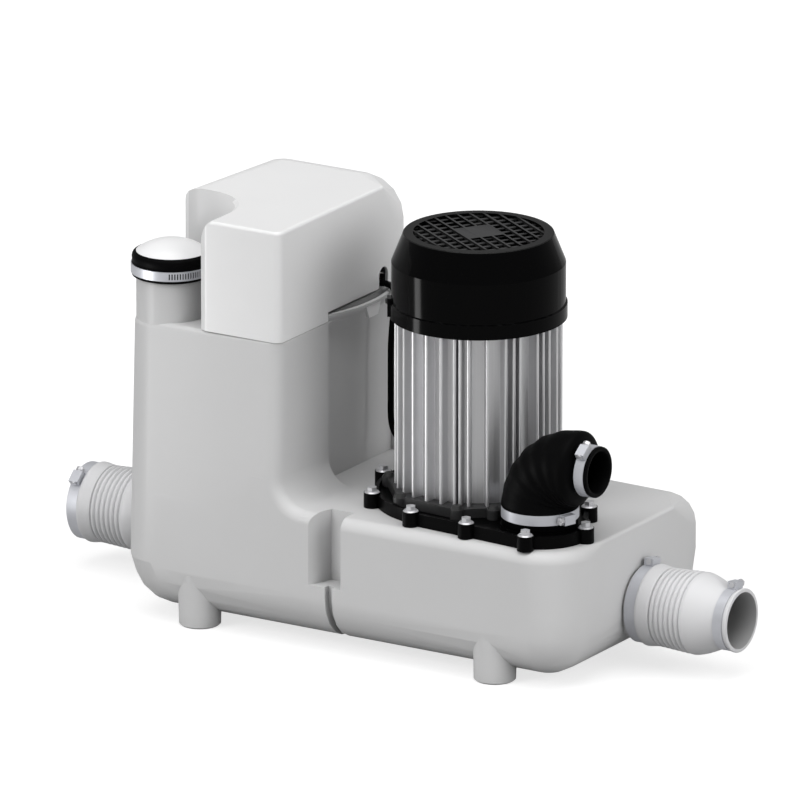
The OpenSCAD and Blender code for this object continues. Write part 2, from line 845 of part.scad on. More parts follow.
// Half outline of a sleeve: outside from the wide end, then the bore back
function sleeve_outline() =
    let (
        rib_z = seat_l + smooth_l,
        ribs_l = ribs * rib_pitch,
        cone_z = rib_z + ribs_l,
        narrow_z = sleeve_l - narrow_seat_l - lip_edge - 2,
        seat_r = sleeve_wide_r - band_seat,
        waist_r = sleeve_wide_r - 1.6,
        rib_pts = [
            for (i = [0:ribs - 1])
                let (
                    z = rib_z + i * rib_pitch,
                    crest = waist_r + 0.5 + (sleeve_wide_r + 0.4 - waist_r) * i / ribs
                )
                for (p = [
                    [crest - 1.7, z + rib_pitch * 0.12], [crest - 0.3, z + rib_pitch * 0.34],
                    [crest, z + rib_pitch * 0.52], [crest - 0.3, z + rib_pitch * 0.72],
                    [crest - 1.7, z + rib_pitch * 0.96]
                ])
                    p
        ],
        cone_pts = [
            for (i = [0:6])
                let (a = i * 15)
                [narrow_r + 1 + (sleeve_wide_r - narrow_r - 1) * cos(a) * (1 - 0.12 * sin(2 * a)),
                    cone_z + 1 + (cone_l - 2) * (1 - cos(a)) * 0.45 + (cone_l - 2) * sin(a) * 0.55]
        ]
    )
    concat(
        [[wide_bore_r, 0], [seat_r, 0], [seat_r, seat_l], [sleeve_wide_r, seat_l + 0.4],
            [sleeve_wide_r + 0.1, seat_l + 2], [waist_r + 0.3, rib_z - 3]],
        rib_pts,
        cone_pts,
        [[narrow_r + 0.9, narrow_z - 1], [narrow_r, narrow_z], [narrow_r, sleeve_l - lip_edge - 1],
            [narrow_r + 1.6, sleeve_l - lip_edge], [narrow_r + 1.6, sleeve_l - 0.6],
            [narrow_r + 1, sleeve_l], [mouth_r, sleeve_l], [mouth_r, narrow_z - 6],
            [wide_bore_r, cone_z + 4]]
    );

module sleeve_body() {
    rotate_extrude($fn = 96)
        polygon(sleeve_outline());
}
module right_sleeve() {
    color("white")
        translate([x_r + sleeve_gap, inlet_y, inlet_z])
            rotate(along_x)
                sleeve_body();
}
module left_sleeve() {
    color("white")
        translate([x_l - reach_l, inlet_y, inlet_z])
            rotate(along_x)
                sleeve_body();
}

// The elbow's rings: up from the base, round the bend with shallow pleats, then in to the neck
function elbow_ring(cx, cz, r, tilt) = [
    for (j = [0:elbow_sides - 1])
        let (a = 360 * j / elbow_sides)
        [cx + r * cos(a) * cos(tilt), o_y + r * sin(a), cz - r * cos(a) * sin(tilt)]
];
function pleat(a) = pleat_h * (cos(360 * pleats * a / 90) - 1) / 2 * sin(2 * a);
module elbow_skin(t) {
    loft(concat(
        [
            elbow_ring(o_x, elbow_z - 4, elbow_r - t - 0.1, 0),
            elbow_ring(o_x, elbow_z - 0.9, elbow_r - t - 0.1, 0),
            elbow_ring(o_x, elbow_z - 0.2, elbow_r + 1.2 - t, 0)
        ],
        [
            for (i = [1:bend_steps])
                let (a = 90 * i / bend_steps)
                elbow_ring(elbow_x1 - bend_r * cos(a), elbow_z + bend_r * sin(a),
                    elbow_r + pleat(a) - t, a)
        ],
        [
            for (a = [30, 60])
                elbow_ring(elbow_x1 + (neck_x - elbow_x1) * sin(a), mouth_z,
                    discharge_r + (elbow_r - discharge_r) * cos(a) - t, 90)
        ],
        [elbow_ring(neck_x + 1, mouth_z, discharge_r - max(t, 0.4), 90)]
    ));
}
module discharge_elbow() {
    color([0.05, 0.05, 0.05])
        difference() {
            union() {
                elbow_skin(0);
                translate([o_x, o_y, elbow_foot])
                    cylinder(r = elbow_r, h = elbow_z - 1 - elbow_foot);
                translate([neck_x, o_y, mouth_z])
                    rotate(along_x) {
                        cylinder(r = discharge_r, h = neck_l);
                        translate([0, 0, neck_l - neck_rim])
                            cylinder(r = discharge_r + 0.4, h = neck_rim);
                    }
            }
            elbow_skin(rubber_t);
            translate([o_x, o_y, base_z])
                cylinder(r = elbow_r - rubber_t, h = elbow_z - base_z - 1);
            translate([neck_x - 4, o_y, mouth_z])
                rotate(along_x)
                    cylinder(r = discharge_bore_r, h = neck_l + 6);
        }
}

// Plan of the plate, set in by t: it reaches out to the screws round the outlet
module plate_plan(t) {
    head_plan(screw_ring_r - 4.5 - t, lobe_r - t);
    translate([m_x, m_y])
        scale(1 - t / 100)
            polygon([for (i = web) i < 0 ? [0, 0] : screw_spots[i] - [m_x, m_y]]);
}

// The plate that closes the tank's opening and carries the motor and the elbow
module pump_flange() {
    color([0.09, 0.09, 0.1])
        difference() {
            union() {
                translate([0, 0, base_z])
                    linear_extrude(plate_t)
                        plate_plan(0);
                translate([0, 0, base_z])
                    linear_extrude(rim_t)
                        difference() {
                            plate_plan(0);
                            plate_plan(4);
                        }
                for (p = screw_spots)
                    translate([p[0], p[1], base_z])
                        cylinder(r = boss_r, h = flange_t);
                translate([o_x, o_y, plate_z - eps])
                    cylinder(r = elbow_r + 1.5, h = 4.6);
                translate([o_x, o_y, base_z])
                    cylinder(r = stub_r, h = stub_z - base_z);
                for (s = [-1, 1])
                    translate([pin_x - 2.2, o_y + s * (ear_gap + ear_l / 2) - ear_l / 2, stub_z - 4])
                        cube([4.4, ear_l, pin_z + 2.5 - stub_z + 4]);
            }
            translate([m_x, m_y, base_z - 1])
                cylinder(r = 60, h = plate_t + 10);
            translate([o_x, o_y, base_z - 1])
                cylinder(r = stub_bore_r, h = stub_z);
            translate([0, 0, base_z - eps])
                linear_extrude(gasket_t) {
                    difference() {
                        head_plan(opening_r + 1 + gasket_w, opening_lobe_r + 1 + gasket_w);
                        head_plan(opening_r + 1, opening_lobe_r + 1);
                    }
                }
            for (p = screw_spots)
                translate([p[0], p[1], base_z - 1])
                    cylinder(r = hole_r, h = flange_t + 2);
            translate([pin_x, o_y, pin_z])
                rotate([90, 0, 0])
                    cylinder(r = pin_r, h = 60, center = true);
        }
}

module flange_gasket() {
    color([0.12, 0.12, 0.12])
        translate([0, 0, base_z])
            linear_extrude(gasket_t - eps)
                difference() {
                    head_plan(opening_r + 0.9 + gasket_w, opening_lobe_r + 0.9 + gasket_w);
                    head_plan(opening_r + 1.1, opening_lobe_r + 1.1);
                }
}

// Hex screws with washers, one solid each
module flange_screws() {
    color([0.75, 0.75, 0.78])
        for (p = screw_spots)
            translate([p[0], p[1], flange_z]) {
                translate([0, 0, 1 - flange_t - screw_depth])
                    cylinder(r = screw_r, h = flange_t + screw_depth, $fn = 32);
                cylinder(r1 = washer_r, r2 = washer_r - 1.2, h = washer_t, $fn = 32);
                translate([0, 0, washer_t - eps])
                    cylinder(r = head_r, h = head_h, $fn = 6);
            }
}

// The eight-sided bearing shield under the motor, hollowed from below, with a knob for each screw
module shield_plan() {
    difference() {
        union() {
            rotate(ring_turn)
                circle(r = ring_r, $fn = ring_sides);
            for (k = knobs)
                rotate(k[1])
                    translate([k[0], 0])
                        circle(r = 6.5);
        }
        translate([o_x - m_x, o_y - m_y])
            circle(r = elbow_r + 3);
        circle(r = shaft_r + 2);
    }
}
module lower_shield() {
    spigot_r = 60 - fit;
    web_t = 3;
    color([0.25, 0.25, 0.26])
        translate([m_x, m_y, 0])
            difference() {
                union() {
                    translate([0, 0, ring_z])
                        linear_extrude(shield_z - ring_z)
                            shield_plan();
                    translate([0, 0, shield_z - 1])
                        cylinder(r = bearing_r + 5, h = bearing_h + 4);
                    translate([0, 0, base_z + fit])
                        cylinder(r = spigot_r, h = shield_z - base_z - fit - 1);
                }
                translate([0, 0, ring_z - 1])
                    linear_extrude(shield_z - ring_z - web_t + 1)
                        difference() {
                            rotate(ring_turn)
                                circle(r = ring_r - 8, $fn = ring_sides);
                            circle(r = spigot_r);
                            translate([o_x - m_x, o_y - m_y])
                                circle(r = elbow_r + 9);
                        }
                translate([0, 0, base_z - 20])
                    cylinder(r = shaft_r + 2, h = 100);
                translate([0, 0, shield_z + 3])
                    cylinder(r = bearing_r, h = bearing_h + 1);
            }
}

module shield_screws() {
    color([0.2, 0.2, 0.2])
        for (k = knobs)
            translate([m_x, m_y, shield_z])
                rotate(k[1])
                    translate([k[0], 0, 0])
                        cylinder(r1 = shield_screw_r, r2 = shield_screw_r - 2, h = 3.5, $fn = 32);
}

// The extruded housing: a tube with fins, the same on both halves
module motor_housing() {
    fin_in = housing_r - 1;
    color([0.62, 0.62, 0.64])
        translate([m_x, m_y, housing_z])
            linear_extrude(housing_top_z - housing_z)
                difference() {
                    union() {
                        circle(r = housing_r);
                        for (half = [0, 180])
                            for (a = fin_dirs)
                                rotate(fin_face + half + a)
                                    polygon([
                                        [fin_in, -fin_t * 0.7], [fin_r - 0.8, -fin_t / 2],
                                        [fin_r, -fin_t / 2 + 0.8], [fin_r, fin_t / 2 - 0.8],
                                        [fin_r - 0.8, fin_t / 2], [fin_in, fin_t * 0.7]
                                    ]);
                    }
                    circle(r = stator_r);
                }
}

module upper_shield() {
    arm_r = cover_mid_r - cover_wall - seat;
    color([0.55, 0.55, 0.57])
        translate([m_x, m_y, upper_z])
            difference() {
                union() {
                    linear_extrude(upper_t)
                        union() {
                            circle(r = housing_r);
                            for (a = [32, 92, 152, 212, 272, 332])
                                rotate(a)
                                    polygon([[0, -6], [arm_r - 0.5, -6], [arm_r - 0.5, 6], [0, 6]]);
                        }
                    translate([0, 0, 4 - bearing_h])
                        cylinder(r = bearing_r + 2, h = bearing_h);
                }
                translate([0, 0, -30])
                    cylinder(r = shaft_r + 2, h = 60);
                translate([0, 0, -20])
                    cylinder(r = bearing_r - 2, h = bearing_h + 12);
                for (a = lug_dirs)
                    rotate(a)
                        translate([cover_r - 14, 0, 4])
                            rotate([0, 90, 0])
                                cylinder(r = 1.6, h = 20, $fn = 24);
            }
}

// The openings of the cover's grid, each as long as told, round a bare middle of three by three
module grid_cells(long) {
    cell = grid_pitch - grid_bar;
    intersection() {
        circle(r = grid_r);
        rotate(grid_dir)
            for (i = [-grid_n:grid_n])
                for (j = [-grid_n:grid_n])
                    if (max(abs(i), abs(j)) > 1 && norm([i, j]) * grid_pitch < grid_r + 4)
                        translate([i * grid_pitch - long / 2 - eps, j * grid_pitch - cell / 2])
                            square([long + 2 * eps, cell]);
    }
}

// The cover's outline: a stepped rim, a straight wall, a cone and a flat top
module fan_cover() {
    top_t = 3;
    cone_z = cover_z - cone_h;
    color([0.05, 0.05, 0.05])
        translate([m_x, m_y, 0])
            difference() {
                union() {
                    rotate_extrude($fn = 96)
                        polygon([
                            [cover_r - cover_wall - 0.8, cover_foot], [cover_r, cover_foot],
                            [cover_r, cover_foot + rim_h - 1], [cover_mid_r, cover_foot + rim_h],
                            [cover_mid_r, cone_z], [cover_top_r, cover_z - 0.8],
                            [cover_top_r - 0.8, cover_z], [0, cover_z], [0, cover_z - top_t],
                            [cover_top_r - cover_wall - 0.5, cover_z - top_t],
                            [cover_mid_r - cover_wall, cone_z - 1],
                            [cover_mid_r - cover_wall, cover_foot + rim_h]
                        ]);
                    for (a = lug_dirs)
                        rotate(a)
                            translate([cover_r - 2.4, -6, cover_foot])
                                cube([4.5, 12, rim_h + 3]);
                }
                translate([0, 0, cover_z - top_t - 1])
                    linear_extrude(top_t + 2)
                        grid_cells(grid_pitch - cross_bar);
                translate([0, 0, cover_z - cross_drop])
                    linear_extrude(top_t)
                        grid_cells(grid_pitch);
                for (a = lug_dirs)
                    rotate(a)
                        translate([cover_r - 12, 0, upper_z + 4])
                            rotate([0, 90, 0])
                                cylinder(r = 1.6, h = 20, $fn = 24);
            }
}

module cover_screws() {
    color([0.3, 0.3, 0.3])
        for (a = lug_dirs)
            translate([m_x, m_y, upper_z + 4])
                rotate(a)
                    translate([cover_r - 11.9, 0, 0])
                        rotate([0, 90, 0]) {
                            cylinder(r = 1.5, h = 14.5, $fn = 24);
                            translate([0, 0, 14])
                                cylinder(r1 = 3, r2 = 2.2, h = 1.8, $fn = 24);
                        }
}

module fan() {
    blades = 7;
    color([0.1, 0.1, 0.1])
        translate([m_x, m_y, fan_z])
            difference() {
                union() {
                    cylinder(r = 13, h = 14);
                    cylinder(r = fan_r - 6, h = 2.5);
                    for (i = [0:blades - 1])
                        rotate(i * 360 / blades)
                            translate([12, -1, 0])
                                cube([fan_r - 12, 2, fan_h]);
                }
                translate([0, 0, -1])
                    cylinder(r = shaft_r - 1, h = 30);
            }
}

module shaft() {
    color([0.7, 0.7, 0.72])
        translate([m_x, m_y, 0]) {
            translate([0, 0, impeller_z - 6])
                cylinder(r = shaft_r, h = fan_z - impeller_z + 6);
            translate([0, 0, fan_z - 1])
                cylinder(r = shaft_r - 1, h = shaft_top - fan_z + 1);
        }
}

module rotor_core() {
    color([0.5, 0.5, 0.52])
        translate([m_x, m_y, stator_z])
            ring(shaft_r, rotor_r, stator_h);
}

module stator_core() {
    color([0.45, 0.45, 0.47])
        translate([m_x, m_y, stator_z])
            ring(rotor_r + air_gap, stator_r, stator_h);
}

module stator_windings() {
    color([0.72, 0.4, 0.2])
        for (z = [stator_z - winding_h - seat, stator_z + stator_h + seat])
            translate([m_x, m_y, z])
                rotate_extrude()
                    translate([rotor_r + 5, 0])
                        square([14, winding_h]);
}

module lower_bearing() {
    color([0.75, 0.75, 0.77])
        translate([m_x, m_y, shield_z + 3])
            ring(shaft_r + running, bearing_r, bearing_h);
}

module upper_bearing() {
    color([0.75, 0.75, 0.77])
        translate([m_x, m_y, upper_z - bearing_h + 4])
            ring(shaft_r + running, bearing_r - 2, bearing_h);
}

// Mechanical seal: a ring that turns with the shaft against a seat held in the volute
module seal_ring() {
    color([0.2, 0.2, 0.22])
        translate([m_x, m_y, chamber_top_z - 4.4])
            ring(shaft_r, seal_r - 1, 4);
}
module seal_seat() {
    color([0.85, 0.85, 0.82])
        translate([m_x, m_y, chamber_top_z])
            ring(shaft_r + 0.5, seal_r, 7);
}

// Open impeller with curved vanes
module impeller() {
    vanes = 6;
    vane = [for (i = [0:6]) [11 + 6.3 * i, -9 * i]];
    color([0.15, 0.15, 0.16])
        translate([m_x, m_y, impeller_z])
            difference() {
                union() {
                    translate([0, 0, impeller_h - 4])
                        cylinder(r = impeller_r, h = 4);
                    cylinder(r = 13, h = impeller_h);
                    for (i = [0:vanes - 1])
                        rotate(i * 360 / vanes)
                            linear_extrude(impeller_h - 2)
                                polygon(concat(
                                    [for (v = vane) v[0] * [cos(v[1]), sin(v[1])]],
                                    [for (k = [6:-1:0])
                                        vane[k][0] * [cos(vane[k][1]), sin(vane[k][1])] + [1, 2.3]]
                                ));
                }
                translate([0, 0, -1])
                    cylinder(r = shaft_r, h = impeller_h + 2);
            }
}

module impeller_nut() {
    nut_h = 5.5;
    color([0.7, 0.7, 0.72])
        translate([m_x, m_y, impeller_z - nut_h])
            difference() {
                cylinder(r = 12, h = nut_h, $fn = 6);
                translate([0, 0, -1])
                    cylinder(r = shaft_r, h = nut_h + 2);
            }
}

// The pump casing, with its eye below and the riser to the outlet at its side
module volute() {
    duct_r = 14;
    duct_z = (chamber_z + chamber_top_z) / 2;
    color([0.14, 0.14, 0.15])
        difference() {
            union() {
                translate([m_x, m_y, volute_z])
                    cylinder(r = volute_r, h = volute_top_z - volute_z);
                translate([m_x, m_y, volute_top_z - 6])
                    cylinder(r = opening_r - 6, h = 6);
                translate([o_x, o_y, riser_z - 6])
                    cylinder(r = riser_r, h = volute_top_z - riser_z + 6);
                translate([m_x, m_y, duct_z])
                    rotate([0, 90, outlet_dir])
                        cylinder(r = duct_r + volute_wall, h = outlet_off);
            }
            translate([m_x, m_y, chamber_z])
                cylinder(r = volute_r - volute_wall, h = chamber_top_z - chamber_z);
            translate([m_x, m_y, volute_z - 1])
                cylinder(r = eye_r, h = 10);
            translate([m_x, m_y, chamber_top_z - 1])
                cylinder(r = seal_r, h = 8);
            translate([m_x, m_y, chamber_top_z + 8])
                cylinder(r = 30, h = 20);
            translate([m_x, m_y, chamber_top_z])
                cylinder(r = shaft_r + 2, h = 20);
            translate([o_x, o_y, riser_z])
                cylinder(r = riser_bore_r, h = 60);
            translate([m_x, m_y, duct_z])
                rotate([0, 90, outlet_dir])
                    translate([0, 0, volute_r - 10])
                        cylinder(r = duct_r, h = outlet_off - volute_r);
        }
}

// The non-return flap, which lies on the stub's rim and swings up with the flow
module check_flap() {
    color([0.1, 0.1, 0.11])
        difference() {
            union() {
                translate([o_x, o_y, flap_z])
                    cylinder(r = flap_r, h = flap_t);
                translate([pin_x, o_y - ear_gap + 0.5, flap_z])
                    cube([8, 2 * ear_gap - 1, flap_t]);
                translate([pin_x, o_y, pin_z])
                    rotate([90, 0, 0])
                        cylinder(r = 3.6, h = 2 * ear_gap - 1, center = true, $fn = 48);
            }
            translate([pin_x, o_y, pin_z])
                rotate([90, 0, 0])
                    cylinder(r = pin_r + running, h = 30, center = true);
        }
}
module flap_pin() {
    color([0.7, 0.7, 0.72])
        translate([pin_x, o_y, pin_z])
            rotate([90, 0, 0])
                cylinder(r = pin_r, h = 2 * (ear_gap + ear_l) - 1, center = true);
}

// The tray that carries the controls, sunk in by the hood's wall
module control_tray() {
    inset = hood_wall + 1.5;
    back_x = hood_x0 + inset + 14;
    color([0.2, 0.2, 0.2])
        difference() {
            union() {
                translate([back_x, bay_y0 + 6, tray_z])
                    cube([x_t - bay_d - inset - back_x, bay_w - 12, tray_t]);
                translate([bell_x - 8, bay_y0 - 12, tray_z])
                    cube([46, 30, tray_t]);
                translate([bell_x, bell_y, tray_z])
                    cylinder(r = cup_r + 3, h = cup_top - tray_z);
                for (y = [bay_y0 + 8, bay_y1 - 12])
                    translate([bell_x - 50, y, tray_z])
                        cube([8, 4, 24]);
            }
            translate([bell_x, bell_y, tray_z - 1])
                cylinder(r = cup_r - 2, h = 5);
            translate([bell_x, bell_y, tray_z + 4])
                cylinder(r = cup_r + seat, h = membrane_t + 6);
            translate([bell_x, bell_y, tray_z])
                cylinder(r = plunger_r + 0.5, h = 30);
        }
}

// The bell: a tube open at its foot, in which rising water traps air
module air_bell() {
    flange_h = 3;
    color([0.85, 0.85, 0.85])
        translate([bell_x, bell_y, 0])
            difference() {
                union() {
                    translate([0, 0, bell_foot_z])
                        cylinder(r = bell_r, h = deck_z - bell_foot_z);
                    translate([0, 0, deck_z - wall - flange_h - fit])
                        cylinder(r = bell_r + 6, h = flange_h);
                }
                translate([0, 0, bell_foot_z - 1])
                    cylinder(r = bell_r - 2.5, h = deck_z);
            }
}

module membrane() {
    color([0.1, 0.1, 0.1])
        translate([bell_x, bell_y, membrane_z])
            cylinder(r = cup_r, h = membrane_t);
}

module switch_plunger() {
    color([0.9, 0.9, 0.9])
        translate([bell_x, bell_y, plunger_z]) {
            cylinder(r = 14, h = 2);
            cylinder(r = plunger_r, h = plunger_h);
            translate([0, 0, plunger_h])
                sphere(r = plunger_r, $fn = 32);
        }
}

// The lever turns about a pin on the microswitch's case and rests over the plunger
module switch_lever() {
    color([0.75, 0.75, 0.78])
        difference() {
            union() {
                translate([lever_x, bell_y - 2.5, lever_z])
                    cube([lever_l + 5, 5, lever_t]);
                translate([lever_x, bell_y, lever_z + lever_t / 2])
                    rotate([90, 0, 0])
                        cylinder(r = 2.6, h = 5, center = true, $fn = 32);
            }
            translate([lever_x, bell_y, lever_z + lever_t / 2])
                rotate([90, 0, 0])
                    cylinder(r = 1 + running, h = 10, center = true, $fn = 32);
        }
}
module microswitch() {
    case_l = 30;
    color([0.15, 0.15, 0.5])
        union() {
            for (s = [-1, 1])
                translate([lever_x - 4, bell_y + s * 4.8 - 1.5, cup_top])
                    cube([8, 3, lever_z + 4.5 - cup_top]);
            translate([lever_x, bell_y, lever_z + lever_t / 2])
                rotate([90, 0, 0])
                    cylinder(r = 1, h = 10, center = true, $fn = 32);
            translate([lever_x - case_l - 3.8, bell_y - 6.3, cup_top])
                cube([case_l, 12.6, lever_z + 10 - cup_top]);
            translate([lever_x - case_l - 3.8, bell_y - 6.3, tray_top])
                cube([16, 12.6, cup_top - tray_top + 1]);
        }
}

// The board stands between the tray's front peg and the microswitch
module circuit_board() {
    switch_gap = 2.7;
    board_y = bay_y0 + 14;
    board_l = bell_y - 6.3 - switch_gap - board_y;
    color([0.1, 0.4, 0.2])
        translate([bell_x - 44, board_y, tray_top]) {
            translate([-1, 0, 2])
                cube([1.6, board_l, 34]);
            translate([-6, 4, 0])
                cube([10, board_l - 8, 4]);
            translate([0.5, 8, 14])
                cube([9, 12, 10]);
            translate([0.5, board_l - 16, 10])
                cube([7, 9, 14]);
        }
}

module capacitor() {
    cap_r = 15;
    color([0.8, 0.8, 0.8])
        translate([bell_x + 36, bay_y0 + 8, tray_top + cap_r])
            rotate([0, -90, 0]) {
                cylinder(r = cap_r, h = 40);
                translate([0, 0, 40 - eps])
                    cylinder(r = 4, h = 4);
            }
}

module terminal_block() {
    ways = 4;
    pitch = 9;
    cup_gap = 4;
    color([0.9, 0.9, 0.86])
        translate([bell_x - 36, bell_y + cup_r + 3 + cup_gap, tray_top])
            difference() {
                cube([ways * pitch, 14, 12]);
                for (i = [0:ways - 1])
                    translate([(i + 0.5) * pitch, 7, 6])
                        cylinder(r = 2.5, h = 8, $fn = 32);
            }
}

// The gland where the supply lead enters, on the tower's left
module mains_gland() {
    gland_x = hood_x0 - 9;
    color([0.1, 0.1, 0.1])
        translate([gland_x, lead_hole_y, deck_z + 11])
            rotate([0, 90, 0])
                difference() {
                    union() {
                        cylinder(r = 7, h = 34, $fn = 48);
                        cylinder(r = 9.5, h = 8, $fn = 6);
                        translate([0, 0, 15])
                            cylinder(r = 9.5, h = 3, $fn = 6);
                        translate([0, -9, 16])
                            cube([10.7, 18, 4]);
                    }
                    translate([0, 0, -1])
                        cylinder(r = 3.5, h = 40, $fn = 48);
                }
}

module lead_gland() {
    color([0.1, 0.1, 0.1])
        translate([m_x, m_y, gland_z])
            rotate([0, 90, gland_dir])
                translate([0, 0, fin_r + 0.3])
                    difference() {
                        cylinder(r = 8, h = 9, $fn = 6);
                        translate([0, 0, -1])
                            cylinder(r = lead_d / 2 + 0.1, h = 20, $fn = 32);
                    }
}

// The lead: a tube swept along its route
function unit(v) = v / norm(v);
function lead_frame(i) =
    let (
        n = len(lead_route),
        t = unit(lead_route[min(i + 1, n - 1)] - lead_route[max(i - 1, 0)]),
        u = unit(cross(t, [0.13, 1, 0.07])),
        w = cross(t, u)
    )
    [for (j = [0:7]) lead_route[i] + lead_d / 2 * (u * cos(45 * j) + w * sin(45 * j))];
module motor_lead() {
    color([0.08, 0.08, 0.08])
        loft([for (i = [0:len(lead_route) - 1]) lead_frame(i)]);
}

tank();
hood();
vent_cap();
vent_sleeve();
vent_clamp();
right_sleeve();
left_sleeve();
right_wide_clamp();
right_mouth_clamp();
left_wide_clamp();
left_stub_clamp();
discharge_elbow();
elbow_base_clamp();
elbow_mouth_clamp();
clamp_screws();
pump_flange();
flange_gasket();
flange_screws();
lower_shield();
shield_screws();
motor_housing();
upper_shield();
fan_cover();
cover_screws();
fan();
shaft();
rotor_core();
stator_core();
stator_windings();
lower_bearing();
upper_bearing();
seal_seat();
seal_ring();
impeller();
impeller_nut();
volute();
check_flap();
flap_pin();
control_tray();
air_bell();
membrane();
switch_plunger();
switch_lever();
microswitch();
circuit_board();
capacitor();
terminal_block();
mains_gland();
lead_gland();
motor_lead();
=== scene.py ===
import math

import bpy
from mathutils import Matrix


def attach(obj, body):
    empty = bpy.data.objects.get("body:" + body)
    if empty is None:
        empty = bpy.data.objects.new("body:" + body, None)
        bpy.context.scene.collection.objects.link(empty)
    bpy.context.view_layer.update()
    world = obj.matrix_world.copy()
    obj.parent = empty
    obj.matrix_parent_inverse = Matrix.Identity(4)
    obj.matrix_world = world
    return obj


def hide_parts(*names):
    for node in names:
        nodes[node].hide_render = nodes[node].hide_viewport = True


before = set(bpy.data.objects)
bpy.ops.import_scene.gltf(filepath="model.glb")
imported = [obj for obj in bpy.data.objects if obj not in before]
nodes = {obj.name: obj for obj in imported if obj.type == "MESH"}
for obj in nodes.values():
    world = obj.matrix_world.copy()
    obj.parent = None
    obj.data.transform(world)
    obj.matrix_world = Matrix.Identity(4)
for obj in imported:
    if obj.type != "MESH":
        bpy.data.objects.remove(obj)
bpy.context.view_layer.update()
for loaded in bpy.context.selected_objects:
    loaded.select_set(False)

# The camera looks from the photograph's side, right of the front and a little above. It is far
# off with a long lens, so that the edges stay nearly parallel.
CAMERA_TURN = math.radians(31.6)
CAMERA_RISE = math.radians(17.0)
CAMERA_FAR = 17.0
PIXELS_PER_M = 1056.0
PICTURE_PIXELS = 800
AIM = (-0.0006, -0.0108, 0.2221)
away = (
    math.sin(CAMERA_TURN) * math.cos(CAMERA_RISE),
    -math.cos(CAMERA_TURN) * math.cos(CAMERA_RISE),
    math.sin(CAMERA_RISE),
)
bpy.ops.object.camera_add(
    location=[a + CAMERA_FAR * b for a, b in zip(AIM, away)],
    rotation=(math.pi / 2 - CAMERA_RISE, 0, CAMERA_TURN),
)
camera = bpy.context.object
camera.data.lens = PIXELS_PER_M * CAMERA_FAR * camera.data.sensor_width / PICTURE_PIXELS
camera.data.clip_end = 60
bpy.context.scene.camera = camera
bpy.context.scene.view_settings.view_transform = "Standard"

# A white studio: an even sky that the camera sees as white, a wide soft light overhead, a weaker
# one in front to the left, one from the right, and a tall strip whose reflection runs down the
# glossy cover.
SKY, SKY_IN_GLOSS, SKY_TO_CAMERA = 0.28, 0.4, 1.0
world = bpy.data.worlds.new("studio")
bpy.context.scene.world = world
world.use_nodes = True
tree = world.node_tree
tree.nodes.clear()
sky = tree.nodes.new("ShaderNodeBackground")
rays = tree.nodes.new("ShaderNodeLightPath")
strength = tree.nodes.new("ShaderNodeMix")
gloss_strength = tree.nodes.new("ShaderNodeMix")
out = tree.nodes.new("ShaderNodeOutputWorld")
gloss_strength.inputs[2].default_value = SKY
gloss_strength.inputs[3].default_value = SKY_IN_GLOSS
strength.inputs[3].default_value = SKY_TO_CAMERA
tree.links.new(rays.outputs["Is Glossy Ray"], gloss_strength.inputs[0])
tree.links.new(rays.outputs["Is Camera Ray"], strength.inputs[0])
tree.links.new(gloss_strength.outputs[0], strength.inputs[2])
tree.links.new(strength.outputs[0], sky.inputs["Strength"])
tree.links.new(sky.outputs[0], out.inputs[0])

for energy, spread, tilt, lean, in_gloss in (
    (1.6, 60, 8, 3, True),
    (1.35, 30, 49, -37, False),
    (1.3, 45, 3.6, 67.9, False),
):
    bpy.ops.object.light_add(type="SUN", rotation=(math.radians(tilt), math.radians(lean), 0))
    lamp = bpy.context.object
    lamp.data.energy = energy
    lamp.data.angle = math.radians(spread)
    lamp.visible_glossy = in_gloss

bpy.ops.object.light_add(type="AREA", location=(-0.435, -0.42, 0.16))
strip = bpy.context.object
strip.data.shape = "RECTANGLE"
strip.data.size = 0.11
strip.data.size_y = 0.3
strip.data.energy = 1.3
strip.rotation_euler = (math.radians(90), 0, math.radians(-57))
strip.visible_diffuse = False

# The floor is a wide white sweep of studio paper. It keeps a pale shadow under the feet. Its glow
# makes it white to the camera, and is weaker where it is mirrored.
PAPER_COLOUR = (0.38, 0.38, 0.38, 1)
FLOOR_WIDTH, FLOOR_GLOW, FLOOR_IN_GLOSS = 40, 0.72, 0.2
bpy.ops.mesh.primitive_plane_add(size=FLOOR_WIDTH)
floor = bpy.context.object
floor.name = "studio_floor"
paper = bpy.data.materials.new("studio_paper")
paper.use_nodes = True
tree = paper.node_tree
tree.nodes.clear()
diffuse = tree.nodes.new("ShaderNodeBsdfDiffuse")
diffuse.inputs["Color"].default_value = PAPER_COLOUR
glow = tree.nodes.new("ShaderNodeEmission")
seen = tree.nodes.new("ShaderNodeLightPath")
both = tree.nodes.new("ShaderNodeAddShader")
out = tree.nodes.new("ShaderNodeOutputMaterial")


def paper_math(operation, first, second):
    """A Math node of the paper, fed by a socket and by a second socket or a number."""
    step = tree.nodes.new("ShaderNodeMath")
    step.operation = operation
    tree.links.new(first, step.inputs[0])
    if isinstance(second, float):
        step.inputs[1].default_value = second
    else:
        tree.links.new(second, step.inputs[1])
    return step.outputs[0]


mirrored = paper_math("MULTIPLY", seen.outputs["Is Glossy Ray"], FLOOR_IN_GLOSS)
seen_or_mirrored = paper_math("MAXIMUM", seen.outputs["Is Camera Ray"], mirrored)
shown = paper_math("MAXIMUM", seen_or_mirrored, seen.outputs["Is Transmission Ray"])
tree.links.new(paper_math("MULTIPLY", shown, FLOOR_GLOW), glow.inputs["Strength"])
tree.links.new(diffuse.outputs[0], both.inputs[0])
tree.links.new(glow.outputs[0], both.inputs[1])
tree.links.new(both.outputs[0], out.inputs["Surface"])
floor.data.materials.append(paper)

